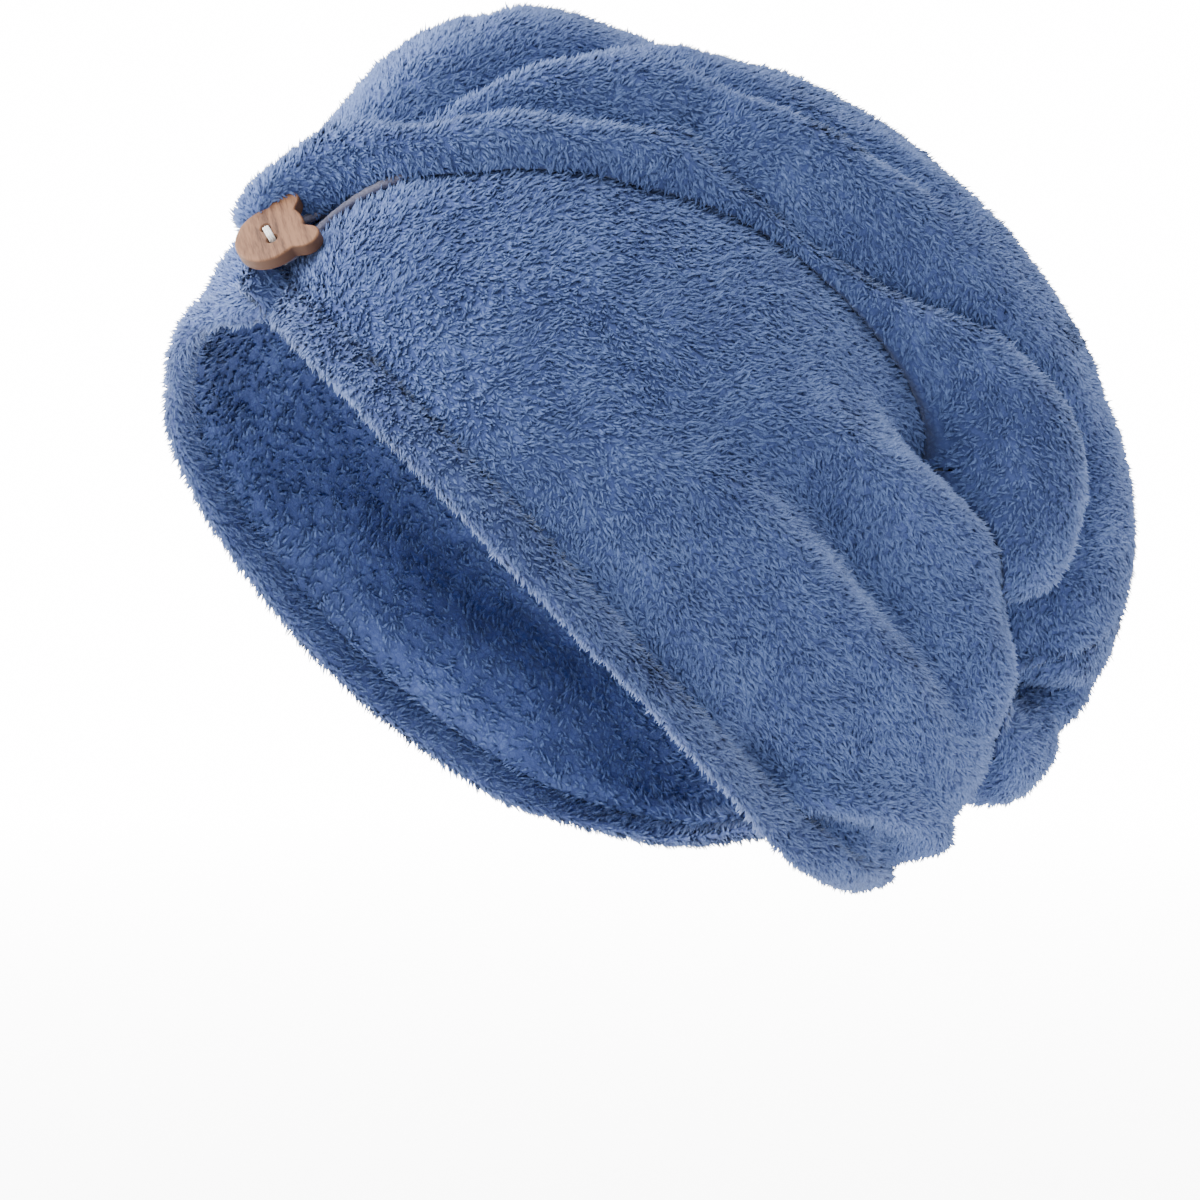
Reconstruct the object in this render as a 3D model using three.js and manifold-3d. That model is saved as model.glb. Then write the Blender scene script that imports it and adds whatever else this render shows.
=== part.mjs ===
// Hair turban towel in its worn shape: two fleece side panels sewn over the crown, a turned hem round
// the opening, the twisted tail brought forward over the crown, an elastic loop at the tail's tip, and
// the wooden button that the loop hooks on. Millimetres, +Z up, the face towards -Y, the wearer's left
// at +X. The origin is the crown: the highest point of the hollow, where the head carries the turban.
//
// The shell is worked out in a frame of its own: x across, y from forehead to nape, z square to the
// opening. One group tilts that frame so that the opening slopes from the forehead down to the nape.
// A place on the shell is (sigma, psi): sigma runs from the forehead (0) over the crown to the nape
// (180), and psi from the wearer's left (0) over the top (90) to the right (180), both in degrees.
import * as THREE from 'three';
import { mergeVertices } from 'three/addons/utils/BufferGeometryUtils.js';
import Module from 'manifold-3d';

const wasm = await Module();
wasm.setup();

// Shell: the outer face of the side panels, without folds.
const HALF_LENGTH = 95;
const HALF_WIDTH = 80;
const CROWN_RISE = 106;
const OPENING_TILT = 45;

// Cloth: fleece with its pile, and the clearance between neighbouring pieces.
const CLOTH = 3;
const GAP = 0.4;
const FOLD_RISE = 10;
const FOLD_REACH = 10;

// Hem: the turned edge of the cloth, which sags over the ears and overlaps at the forehead.
const HEM_WIDTH = 9;
const HEM_THICK = 5;
const HEM_SAG = { near: 20, far: 27 };
const HEM_LAP = 2;
const NAPE_RISE = 10;
const BROW_TUCK = 5;
const NAPE_TUCK = 8;

// Tail: the twisted cloth on the crown, wound from rolls.
const TAIL_RISE = 13;
const TAIL_REACH = 18;
const TAIL_BASE = 0.6;
const TAIL_BLEND = 0.08;

// Elastic loop: its cord, its width behind the button, and the psi of its two strands at each sigma.
const LOOP_CORD = 2;
const LOOP_SPREAD = 9.5;
const LOOP_STRANDS = [
  { sigma: 38, lower: 60, upper: 65 },
  { sigma: 29, lower: 57, upper: 62 },
  { sigma: 21, lower: 59, upper: 65 },
  { sigma: 14.5, lower: 67, upper: 79 },
];

// Button: a bear's head cut from a wooden board, sewn on over the near panel's corner. It is tipped
// towards the wearer's left and leans back, in degrees.
const BUTTON_PLACE = { sigma: 6.3, psi: 62, tip: 20, lean: -21 };
const BUTTON_WIDTH = 17;
const BUTTON_HEIGHT = 15.5;
const BUTTON_THICK = 3;
const BUTTON_BEVEL = 0.5;
const EAR_RADIUS = 3.2;
const EAR_SPREAD = 13.6;
const EAR_LEVEL = 6.2;
const BUTTON_HOLE = 2.1;
const HOLE_SPACING = 4.4;
const THREAD_WIDTH = 1.2;
const SHANK = 5.5;

const RAD = Math.PI / 180;
const SIDES = { near: 1, far: -1 };

// Folds pressed into each side panel. A fold starts at (sigma0, psi0) and ends at (sigma1, psi1); bow
// bends its line towards the crown in the middle, in degrees. rise and reach are shares of FOLD_RISE
// and FOLD_REACH; grow and fade are the shares of its length over which it grows and dies away.
const PANEL_FOLDS = {
  near: [
    { sigma0: 9, psi0: 62, sigma1: 62, psi1: 50, bow: 0, rise: 0.45, reach: 2.2, grow: 0.3, fade: 0.5 },
    { sigma0: 104, psi0: 14, sigma1: 168, psi1: 40, bow: 4, rise: 1.35, reach: 2.6, grow: 0.6, fade: 0.35 },
    { sigma0: 70, psi0: 26, sigma1: 136, psi1: 44, bow: -1, rise: 0.8, reach: 1.0, grow: 0.7, fade: 0.25 },
    { sigma0: 86, psi0: 50, sigma1: 130, psi1: 54, bow: 0, rise: 0.6, reach: 1.3, grow: 0.7, fade: 0.3 },
    { sigma0: 58, psi0: 10, sigma1: 150, psi1: 18, bow: -3, rise: 0.4, reach: 1.1, grow: 0.5, fade: 0.4 },
    { sigma0: 70, psi0: 17, sigma1: 152, psi1: 26, bow: 2, rise: -0.45, reach: 0.9, grow: 0.5, fade: 0.4 },
    { sigma0: 60, psi0: -1, sigma1: 136, psi1: 2, bow: -2, rise: -0.5, reach: 0.9, grow: 0.7, fade: 0.25 },
    { sigma0: 118, psi0: -4, sigma1: 172, psi1: 12, bow: -4, rise: 0.8, reach: 1.1, grow: 0.4, fade: 0.4 },
  ],
  far: [
    { sigma0: -2, psi0: 2, sigma1: 80, psi1: 4, bow: 0, rise: 0.8, reach: 3.0, grow: 0.3, fade: 0.5 },
    { sigma0: 100, psi0: 16, sigma1: 170, psi1: 30, bow: 4, rise: 1.2, reach: 3.0, grow: 0.6, fade: 0.4 },
    { sigma0: 60, psi0: 34, sigma1: 150, psi1: 40, bow: -6, rise: 0.5, reach: 1.2, grow: 0.6, fade: 0.3 },
    { sigma0: 50, psi0: 10, sigma1: 150, psi1: 16, bow: -3, rise: 0.35, reach: 1.1, grow: 0.5, fade: 0.4 },
    { sigma0: 80, psi0: 18, sigma1: 150, psi1: 28, bow: 2, rise: -0.4, reach: 1.0, grow: 0.5, fade: 0.4 },
    { sigma0: 96, psi0: 0, sigma1: 140, psi1: 3, bow: 0, rise: -0.5, reach: 0.9, grow: 0.6, fade: 0.3 },
    { sigma0: 118, psi0: -2, sigma1: 172, psi1: 12, bow: -4, rise: 0.7, reach: 1.1, grow: 0.4, fade: 0.4 },
  ],
};

// Rolls wound together into the tail, each a row for every place on its line. lift, rise and reach
// give its top: lift is the height of its shoulders over the shell and rise that of its back over
// them, as shares of TAIL_RISE, and reach is its half width as a share of TAIL_REACH.
const TAIL_ROLLS = {
  near_roll: [
    { sigma: 7, psi: 118, lift: 0.8, reach: 0.32, rise: 0.4 },
    { sigma: 12, psi: 104, lift: 0.8, reach: 0.36, rise: 0.4 },
    { sigma: 18, psi: 84, lift: 0.8, reach: 0.45, rise: 0.45 },
    { sigma: 28, psi: 67, lift: 0.75, reach: 0.56, rise: 0.5 },
    { sigma: 41, psi: 62, lift: 0.65, reach: 0.66, rise: 0.6 },
    { sigma: 60, psi: 60, lift: 0.65, reach: 0.75, rise: 0.65 },
    { sigma: 84, psi: 57, lift: 0.85, reach: 0.85, rise: 0.75 },
    { sigma: 103, psi: 56, lift: 1.15, reach: 0.9, rise: 0.85 },
    { sigma: 113, psi: 52, lift: 1.3, reach: 0.85, rise: 0.85 },
    { sigma: 118, psi: 44, lift: 1.2, reach: 0.7, rise: 0.7 },
    { sigma: 116, psi: 36, lift: 0.9, reach: 0.5, rise: 0.5 },
  ],
  top_roll: [
    { sigma: 24, psi: 92, lift: 0.7, reach: 0.4, rise: 0.4 },
    { sigma: 40, psi: 78, lift: 0.85, reach: 0.55, rise: 0.6 },
    { sigma: 60, psi: 75, lift: 0.95, reach: 0.65, rise: 0.7 },
    { sigma: 76, psi: 74, lift: 1.1, reach: 0.75, rise: 0.8 },
    { sigma: 92, psi: 74, lift: 1.25, reach: 0.8, rise: 0.8 },
    { sigma: 106, psi: 74, lift: 1.6, reach: 0.85, rise: 0.85 },
    { sigma: 118, psi: 73, lift: 1.9, reach: 0.8, rise: 0.8 },
    { sigma: 127, psi: 71, lift: 1.8, reach: 0.6, rise: 0.6 },
  ],
  crown_roll: [
    { sigma: 46, psi: 90, lift: 0.9, reach: 0.5, rise: 0.5 },
    { sigma: 66, psi: 91, lift: 1.0, reach: 0.8, rise: 0.7 },
    { sigma: 90, psi: 92, lift: 1.15, reach: 0.95, rise: 0.8 },
    { sigma: 112, psi: 92, lift: 1.5, reach: 0.9, rise: 0.8 },
    { sigma: 126, psi: 92, lift: 1.8, reach: 0.7, rise: 0.7 },
  ],
  far_roll: [
    { sigma: 14, psi: 126, lift: 0.45, reach: 0.35, rise: 0.4 },
    { sigma: 25, psi: 112, lift: 0.65, reach: 0.55, rise: 0.55 },
    { sigma: 38, psi: 105, lift: 1.15, reach: 0.8, rise: 0.85 },
    { sigma: 52, psi: 103, lift: 1.35, reach: 0.95, rise: 0.9 },
    { sigma: 78, psi: 109, lift: 1.05, reach: 1.0, rise: 0.8 },
    { sigma: 104, psi: 113, lift: 1.1, reach: 1.05, rise: 0.8 },
    { sigma: 124, psi: 113, lift: 1.3, reach: 1.0, rise: 0.85 },
    { sigma: 138, psi: 109, lift: 1.2, reach: 0.8, rise: 0.75 },
  ],
  side_roll: [
    { sigma: 24, psi: 128, lift: 0.5, reach: 0.4, rise: 0.3 },
    { sigma: 50, psi: 126, lift: 0.6, reach: 0.7, rise: 0.5 },
    { sigma: 90, psi: 131, lift: 0.65, reach: 0.8, rise: 0.6 },
    { sigma: 122, psi: 133, lift: 0.8, reach: 0.8, rise: 0.65 },
    { sigma: 142, psi: 127, lift: 0.8, reach: 0.7, rise: 0.6 },
  ],
  pouch: [
    { sigma: 118, psi: 84, lift: 1.3, reach: 1.0, rise: 1.2 },
    { sigma: 126, psi: 80, lift: 1.5, reach: 1.5, rise: 1.6 },
    { sigma: 135, psi: 78, lift: 1.45, reach: 1.75, rise: 1.5 },
    { sigma: 143, psi: 77, lift: 1.3, reach: 1.5, rise: 1.3 },
  ],
  root_roll: [
    { sigma: 141, psi: 40, lift: 0.9, reach: 0.5, rise: 0.6 },
    { sigma: 150, psi: 52, lift: 1.4, reach: 0.65, rise: 0.8 },
    { sigma: 155, psi: 76, lift: 1.45, reach: 0.7, rise: 0.9 },
    { sigma: 154, psi: 104, lift: 1.3, reach: 0.7, rise: 0.8 },
    { sigma: 147, psi: 124, lift: 0.9, reach: 0.6, rise: 0.6 },
  ],
};

// The tail's outline on the shell: the psi of its near and far edges at each sigma.
const TAIL_EDGES = [
  { sigma: 6.5, near: 98, far: 124 },
  { sigma: 9, near: 91, far: 138 },
  { sigma: 13, near: 75, far: 147 },
  { sigma: 18, near: 63, far: 145 },
  { sigma: 25, near: 54, far: 143 },
  { sigma: 33, near: 51, far: 142 },
  { sigma: 44, near: 52, far: 142 },
  { sigma: 64, near: 51, far: 144 },
  { sigma: 90, near: 47, far: 146 },
  { sigma: 106, near: 44, far: 148 },
  { sigma: 116, near: 32, far: 148 },
  { sigma: 130, near: 27, far: 146 },
  { sigma: 144, near: 24, far: 142 },
  { sigma: 154, near: 28, far: 138 },
  { sigma: 162, near: 40, far: 130 },
];

// Numbers of facets.
const PANEL_LENGTHS = 29;
const PANEL_BREADTHS = 18;
const HEM_STEPS = 40;
const HEM_SIDES = 8;
const TAIL_LENGTHS = 36;
const TAIL_BREADTHS = 25;
const ROLL_SAMPLES = 30;
const CORD_SIDES = 6;

const smooth = (t) => {
  const s = Math.min(1, Math.max(0, t));
  return s * s * (3 - 2 * s);
};

// Shell

// The place on the shell at shares of its half sizes, drawn in at the forehead and at the nape, and
// lifted off it along its normal.
function shellPlace(across, along, up, lift) {
  const point = new THREE.Vector3(HALF_WIDTH * across, HALF_LENGTH * along, CROWN_RISE * up);
  const normal = shellNormal(point);
  const low = 1 - smooth((up + 0.02) / 0.18);
  point.y += low * BROW_TUCK * smooth((-along - 0.55) / 0.4);
  point.y -= low * NAPE_TUCK * smooth((along - 0.55) / 0.4);
  return point.addScaledVector(normal, lift);
}

function shellPoint(sigma, psi, lift = 0) {
  const s = Math.sin(sigma * RAD);
  return shellPlace(s * Math.cos(psi * RAD), -Math.cos(sigma * RAD), s * Math.sin(psi * RAD), lift);
}

function shellNormal(point) {
  return new THREE.Vector3(
    point.x / HALF_WIDTH ** 2,
    point.y / HALF_LENGTH ** 2,
    point.z / CROWN_RISE ** 2,
  ).normalize();
}

// How far a side panel's folds push its outer face off the shell. psi is measured from that side.
function foldHeight(side, sigma, psi) {
  const radius = ((HALF_WIDTH + CROWN_RISE) / 2) * Math.sin(sigma * RAD);
  let height = 0;
  for (const fold of PANEL_FOLDS[side]) {
    const t = (sigma - fold.sigma0) / (fold.sigma1 - fold.sigma0);
    if (t <= 0 || t >= 1) continue;
    const line = fold.psi0 + (fold.psi1 - fold.psi0) * t + 4 * fold.bow * t * (1 - t);
    const off = ((psi - line) * RAD * radius) / (fold.reach * FOLD_REACH);
    const full = smooth(t / fold.grow) * smooth((1 - t) / fold.fade);
    height += fold.rise * FOLD_RISE * full * Math.exp(-off * off);
  }
  return height;
}

// How far the hem's edge stands over the opening's plane. turn runs round it: forehead 0, ear 90,
// nape 180.
function edgeRise(side, turn) {
  const t = Math.abs(turn);
  return NAPE_RISE * smooth((t - 120) / 60) - HEM_SAG[side] * Math.sin(t * RAD);
}

// A place round the opening, at a height over the hem's edge, as shares of the shell's half sizes.
function rimShares(side, turn, height) {
  const up = (height + edgeRise(side, turn)) / CROWN_RISE;
  const size = Math.sqrt(1 - up * up);
  return { across: size * Math.sin(turn * RAD), along: -size * Math.cos(turn * RAD), up };
}

// The psi at which the line at that height over the hem's edge crosses a sigma.
function levelPsi(side, sigma, height) {
  let [low, high] = [0, 180];
  for (let i = 0; i < 40; i++) {
    const turn = (low + high) / 2;
    if (rimShares(side, turn, height).along < -Math.cos(sigma * RAD)) low = turn;
    else high = turn;
  }
  const { across, up } = rimShares(side, low, height);
  return Math.atan2(up, across) / RAD;
}

// The sigma at which that line meets the middle plane: turn 0 is the forehead, turn 180 the nape.
function endSigma(side, turn, height) {
  return Math.acos(-rimShares(side, turn, height).along) / RAD;
}

// Solids from grids of points

// A closed body from rings of points, with both ends closed by a fan.
function loftRings(rings) {
  const count = rings[0].length;
  const middle = (ring) => {
    const sum = ring.reduce((total, p) => total.add(p), new THREE.Vector3());
    return sum.divideScalar(count);
  };
  const points = [...rings.flat(), middle(rings[0]), middle(rings[rings.length - 1])];
  const faces = [];
  for (let i = 0; i + 1 < rings.length; i++) {
    for (let j = 0; j < count; j++) {
      const k = (j + 1) % count;
      const [a, b] = [i * count + j, i * count + k];
      faces.push(a, b, b + count, a, b + count, a + count);
    }
  }
  const last = (rings.length - 1) * count;
  for (let j = 0; j < count; j++) {
    const k = (j + 1) % count;
    faces.push(rings.length * count, k, j);
    faces.push(rings.length * count + 1, last + j, last + k);
  }
  return bodyOf(points, faces);
}

// A manifold body from points and faces, turned right side out.
function bodyOf(points, faces) {
  const vertProperties = new Float32Array(points.flatMap((p) => [p.x, p.y, p.z]));
  let triVerts = new Uint32Array(faces);
  const volume = signedVolume(vertProperties, triVerts);
  if (volume < 0) triVerts = triVerts.map((v, i) => triVerts[i - (i % 3) + (2 - (i % 3))]);
  return new wasm.Manifold(new wasm.Mesh({ numProp: 3, vertProperties, triVerts }));
}

function signedVolume(positions, corners) {
  let volume = 0;
  const at = (i) => new THREE.Vector3().fromArray(positions, 3 * corners[i]);
  for (let i = 0; i < corners.length; i += 3) volume += at(i).dot(at(i + 1).cross(at(i + 2))) / 6;
  return volume;
}

function bodyOfGeometry(geometry) {
  const bare = geometry.clone();
  bare.deleteAttribute('normal');
  bare.deleteAttribute('uv');
  const merged = mergeVertices(bare, 1e-4);
  const points = [];
  for (let i = 0; i < merged.attributes.position.count; i++) {
    points.push(new THREE.Vector3().fromBufferAttribute(merged.attributes.position, i));
  }
  return bodyOf(points, [...merged.index.array]);
}

function geometryOf(body) {
  const { vertProperties, triVerts, numProp } = body.getMesh();
  const geometry = new THREE.BufferGeometry();
  const positions = new Float32Array((vertProperties.length / numProp) * 3);
  for (let i = 0; i < positions.length / 3; i++) {
    for (let k = 0; k < 3; k++) positions[3 * i + k] = vertProperties[i * numProp + k];
  }
  geometry.setAttribute('position', new THREE.BufferAttribute(positions, 3));
  geometry.setIndex([...triVerts]);
  geometry.computeVertexNormals();
  return geometry;
}

// Side panels

// Sections across one side, from the hem's stitch line up to the middle plane. Each holds the points
// of the panel's outer face, raised by out, and the fold height under each of them.
function panelSections(side, out) {
  const first = endSigma(side, 0, HEM_WIDTH) + 0.5;
  const last = endSigma(side, 180, HEM_WIDTH) - 0.5;
  return Array.from({ length: PANEL_LENGTHS + 1 }, (_, i) => {
    const sigma = first + ((last - first) * i) / PANEL_LENGTHS;
    const low = levelPsi(side, sigma, HEM_WIDTH);
    const seam = 90 - Math.asin(GAP / 2 / (HALF_WIDTH * Math.sin(sigma * RAD))) / RAD;
    return Array.from({ length: PANEL_BREADTHS + 1 }, (_, j) => {
      const psi = low + ((seam - low) * j) / PANEL_BREADTHS;
      const height = foldHeight(side, sigma, psi);
      return { sigma, psi, height, point: shellPoint(sigma, psi, height + out) };
    });
  });
}

// One side panel: a hollow cloth wall.
function panelBody(side) {
  const rings = panelSections(side, 0).map((section) => {
    const inner = section.map(({ sigma, psi, height }) => shellPoint(sigma, psi, height - CLOTH));
    return [...section.map(({ point }) => point), ...inner.reverse()];
  });
  for (const point of rings.flat()) point.x *= SIDES[side];
  return loftRings(rings);
}

// What the pieces outside the panels and the hem are cut by: both of them, grown by the clearance.
function shellEnvelope() {
  const parts = Object.keys(SIDES).map((side) => {
    const rings = panelSections(side, 1.2 * GAP).map((section) => {
      const top = section[section.length - 1];
      const over = top.point.clone();
      over.x = -2 * GAP;
      const deep = section.map(({ sigma, psi }) => shellPoint(sigma, psi, -4 * CLOTH));
      const under = deep[deep.length - 1].clone();
      under.x = -2 * GAP;
      return [...section.map(({ point }) => point), over, under, ...deep.reverse()];
    });
    for (const point of rings.flat()) point.x *= SIDES[side];
    return loftRings(rings).add(hemBody(side, GAP));
  });
  return parts[0].add(parts[1]);
}

// Hem

// A point round the opening at a height over the hem's edge, lifted off the side panel's outer face.
function openingPoint(side, turn, height, lift) {
  const { across, along, up } = rimShares(side, turn, height);
  const sigma = Math.acos(-along) / RAD;
  const psi = Math.atan2(up, Math.abs(across)) / RAD;
  const point = shellPlace(across, along, up, foldHeight(side, sigma, psi) + lift);
  point.x *= SIDES[side];
  return point;
}

// One side's turned hem. The near one laps over the far one at the forehead.
function hemBody(side, grow = 0) {
  const lap = side === 'near' ? (HEM_LAP / HALF_WIDTH / RAD) : 0;
  const start = side === 'near' ? -lap : GAP / HALF_WIDTH / RAD;
  const end = 180 - GAP / 2 / HALF_WIDTH / RAD;
  const middle = (HEM_WIDTH - GAP) / 2;
  const rings = [];
  for (let i = 0; i <= HEM_STEPS; i++) {
    const turn = start + ((end - start) * i) / HEM_STEPS;
    const over = side === 'near' ? (HEM_THICK + 3.5 * GAP) * smooth(1 - (turn - 2) / (2 * lap)) : 0;
    const lift = over - CLOTH / 2;
    const centre = openingPoint(side, turn, middle, lift);
    const out = openingPoint(side, turn, middle, lift + 1).sub(centre).normalize();
    const up = openingPoint(side, turn, middle + 1, lift).sub(centre).normalize();
    const ring = [];
    for (let j = 0; j < HEM_SIDES; j++) {
      const a = ((j + 0.5) / HEM_SIDES) * 2 * Math.PI;
      const corner = (c) => Math.sign(c) * Math.abs(c) ** 0.7;
      ring.push(
        centre
          .clone()
          .addScaledVector(up, (middle + grow) * corner(Math.sin(a)))
          .addScaledVector(out, (HEM_THICK / 2 + grow) * corner(Math.cos(a))),
      );
    }
    rings.push(ring);
  }
  return loftRings(rings);
}

// Tail

// A value between rows, smooth through each of them, at a place counted in rows.
function between(rows, name, place) {
  const i = Math.min(rows.length - 2, Math.floor(place));
  const f = place - i;
  const at = (k) => rows[Math.min(rows.length - 1, Math.max(0, k))][name];
  const [a, b, c, d] = [at(i - 1), at(i), at(i + 1), at(i + 2)];
  return b + (f / 2) * (c - a + f * (2 * a - 5 * b + 4 * c - d + f * (3 * (b - c) + d - a)));
}

// A value of the tail's outline at a sigma.
function edgePsi(name, sigma) {
  const last = TAIL_EDGES.length - 1;
  const i = TAIL_EDGES.findIndex((row, k) => k > 0 && (row.sigma >= sigma || k === last));
  const [a, b] = [TAIL_EDGES[i - 1], TAIL_EDGES[i]];
  return between(TAIL_EDGES, name, i - 1 + (sigma - a.sigma) / (b.sigma - a.sigma));
}

// Places along each roll: a point on the shell with the roll's size there.
const rollPlaces = Object.values(TAIL_ROLLS).map((rows) =>
  Array.from({ length: ROLL_SAMPLES + 1 }, (_, k) => {
    const place = (k / ROLL_SAMPLES) * (rows.length - 1);
    return {
      point: shellPoint(between(rows, 'sigma', place), between(rows, 'psi', place)),
      shoulder: between(rows, 'lift', place) * TAIL_RISE,
      back: between(rows, 'rise', place) * TAIL_RISE,
      reach: between(rows, 'reach', place) * TAIL_REACH,
    };
  }),
);

// The top of one roll over a point of the shell: round across its reach, steep beyond it.
function rollTop(places, point) {
  let top = -Infinity;
  for (let k = 0; k + 1 < places.length; k++) {
    const [a, b] = [places[k], places[k + 1]];
    const leg = b.point.clone().sub(a.point);
    const t = Math.min(1, Math.max(0, point.clone().sub(a.point).dot(leg) / leg.lengthSq()));
    const reach = a.reach + t * (b.reach - a.reach);
    const share = a.point.clone().addScaledVector(leg, t).distanceTo(point) / reach;
    const shoulder = a.shoulder + t * (b.shoulder - a.shoulder);
    const back = a.back + t * (b.back - a.back);
    const over = share < 1 ? back * Math.sqrt(1 - share * share) : back * 3 * (1 - share);
    top = Math.max(top, shoulder + over);
  }
  return top;
}

// The height of the tail's outer face over the shell. Neighbouring rolls run into each other.
function tailTop(sigma, psi) {
  const point = shellPoint(sigma, psi);
  const blend = TAIL_BLEND * TAIL_RISE;
  const sum = rollPlaces.reduce((total, places) => total + Math.exp(rollTop(places, point) / blend), 0);
  return Math.max(TAIL_BASE * TAIL_RISE, blend * Math.log(sum));
}

// The tail: its outer face over the shell from edge to edge, closed underneath by the shell's own face.
function tailBody(...cuts) {
  const first = TAIL_EDGES[0].sigma;
  const last = TAIL_EDGES[TAIL_EDGES.length - 1].sigma;
  const rings = [];
  for (let i = 0; i <= TAIL_LENGTHS; i++) {
    const along = i / TAIL_LENGTHS;
    const sigma = first + (last - first) * along;
    const front = 0.45 + 0.55 * Math.sqrt(1 - (1 - Math.min(1, along * 24)) ** 2);
    const back = 0.1 + 0.9 * Math.sqrt(1 - (1 - Math.min(1, (1 - along) * 10)) ** 2);
    const [near, far] = [edgePsi('near', sigma), edgePsi('far', sigma)];
    const outer = [];
    const inner = [];
    for (let j = 0; j <= TAIL_BREADTHS; j++) {
      const across = j / TAIL_BREADTHS;
      const spread = across - (0.6 * Math.sin(2 * Math.PI * across)) / (2 * Math.PI);
      const psi = near + (far - near) * spread;
      const edge = Math.sqrt(1 - Math.abs(2 * spread - 1) ** 12);
      const top = (tailTop(sigma, psi) + CLOTH) * front * back * edge;
      outer.push(shellPoint(sigma, psi, top - CLOTH));
      inner.push(shellPoint(sigma, psi, -CLOTH - 1));
    }
    rings.push([...outer, ...inner.reverse()]);
  }
  return cuts.reduce((body, cut) => body.subtract(cut), loftRings(rings));
}

// Button, thread and loop

// The frame that the button lies in, over the corner of the near panel.
function buttonFrame() {
  const { sigma, psi } = BUTTON_PLACE;
  const centre = shellPoint(sigma, psi, foldHeight('near', sigma, psi) + SHANK);
  const normal = shellNormal(shellPoint(sigma, psi));
  const up = new THREE.Vector3(0, 0, 1).addScaledVector(normal, -normal.z).normalize();
  const tipped = normal.clone().applyAxisAngle(up, BUTTON_PLACE.tip * RAD);
  const leaned = up.clone().applyAxisAngle(tipped, BUTTON_PLACE.lean * RAD);
  const aside = new THREE.Vector3().crossVectors(leaned, tipped);
  return new THREE.Matrix4().makeBasis(aside, leaned, tipped).setPosition(centre);
}

function boardDisc(halfWidth, halfHeight, x, y, under, height) {
  const outline = new THREE.Shape();
  const bevel = BUTTON_BEVEL;
  outline.absellipse(x, y, halfWidth - bevel, halfHeight - bevel, 0, 2 * Math.PI);
  const depth = height - under - 2 * bevel;
  const disc = new THREE.ExtrudeGeometry(outline, {
    depth, curveSegments: 10, bevelThickness: bevel, bevelSize: bevel, bevelSegments: 1,
  });
  return bodyOfGeometry(disc.translate(0, 0, under + bevel));
}

// The board's outline with its two ears, grown all round, from the underside up to a height.
function boardBody(grow, under, height) {
  const ear = EAR_RADIUS + grow;
  const face = boardDisc(BUTTON_WIDTH / 2 + grow, BUTTON_HEIGHT / 2 + grow, 0, 0, under, height);
  return [-EAR_SPREAD / 2, EAR_SPREAD / 2].reduce(
    (board, x) => board.add(boardDisc(ear, ear, x, EAR_LEVEL, under, height)),
    face,
  );
}

function buttonBody() {
  let board = boardBody(0, 0, BUTTON_THICK);
  for (const way of [-1, 1]) {
    const drill = new THREE.CylinderGeometry(BUTTON_HOLE / 2, BUTTON_HOLE / 2, 3 * BUTTON_THICK, 12);
    drill.rotateX(Math.PI / 2).translate((way * HOLE_SPACING) / 2, 0, 0);
    board = board.subtract(bodyOfGeometry(drill));
  }
  return board;
}

// A round cord along points.
function cordBody(points, diameter, sides, steps) {
  const section = new THREE.Shape();
  for (let j = 0; j < sides; j++) {
    const a = (j / sides) * 2 * Math.PI;
    const [x, y] = [(diameter / 2) * Math.cos(a), (diameter / 2) * Math.sin(a)];
    if (j === 0) section.moveTo(x, y);
    else section.lineTo(x, y);
  }
  const path = new THREE.CatmullRomCurve3(points, false, 'centripetal');
  const options = { steps, extrudePath: path, bevelEnabled: false };
  return bodyOfGeometry(new THREE.ExtrudeGeometry(section, options));
}

// The sewing thread: down one hole, over the button's face and down the other.
function threadBody() {
  const half = HOLE_SPACING / 2;
  const top = BUTTON_THICK + GAP + THREAD_WIDTH / 2;
  const foot = -SHANK;
  const corner = 0.6;
  return cordBody(
    [
      new THREE.Vector3(-half, 0, foot),
      new THREE.Vector3(-half, 0, top - 2 * corner),
      new THREE.Vector3(-half + corner, 0, top),
      new THREE.Vector3(half - corner, 0, top),
      new THREE.Vector3(half, 0, top - 2 * corner),
      new THREE.Vector3(half, 0, foot),
    ],
    THREAD_WIDTH, CORD_SIDES, 18,
  );
}

// The loop's line: from under the tail, round the thread behind the button and back under the tail.
function loopPoints(button) {
  const strand = (name) =>
    LOOP_STRANDS.map((row) => {
      const rise = foldHeight('near', row.sigma, row[name]) + LOOP_CORD / 2 + 3 * GAP;
      return shellPoint(row.sigma, row[name], rise);
    });
  const half = LOOP_SPREAD / 2;
  const bend = [
    [half, 0.6 * half],
    [0.85 * half, -0.2 * half],
    [0, -0.55 * half],
    [-0.85 * half, -0.2 * half],
    [-half, 0.6 * half],
  ].map(([x, y]) => new THREE.Vector3(x, y, -LOOP_CORD / 2 - GAP).applyMatrix4(button));
  return [...strand('lower'), ...bend, ...strand('upper').reverse()];
}

// The room that the loop takes up inside the tail.
function tunnelBody(points) {
  const diameter = LOOP_CORD + 2.5 * GAP;
  return [points[0], points[points.length - 1]].reduce((room, end) => {
    const ball = new THREE.SphereGeometry(0.7 * diameter, 8, 6).translate(end.x, end.y, end.z);
    return room.add(bodyOfGeometry(ball));
  }, cordBody(points, diameter, CORD_SIDES, 44));
}

// The object

const fleece = new THREE.MeshStandardMaterial({ color: 0x5f7fb4, roughness: 0.95, metalness: 0 });
const wood = new THREE.MeshStandardMaterial({ color: 0x94694f, roughness: 0.6, metalness: 0 });
const elastic = new THREE.MeshStandardMaterial({ color: 0x6b6a80, roughness: 0.8, metalness: 0 });
const cotton = new THREE.MeshStandardMaterial({ color: 0xe8e6e4, roughness: 0.8, metalness: 0 });

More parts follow.
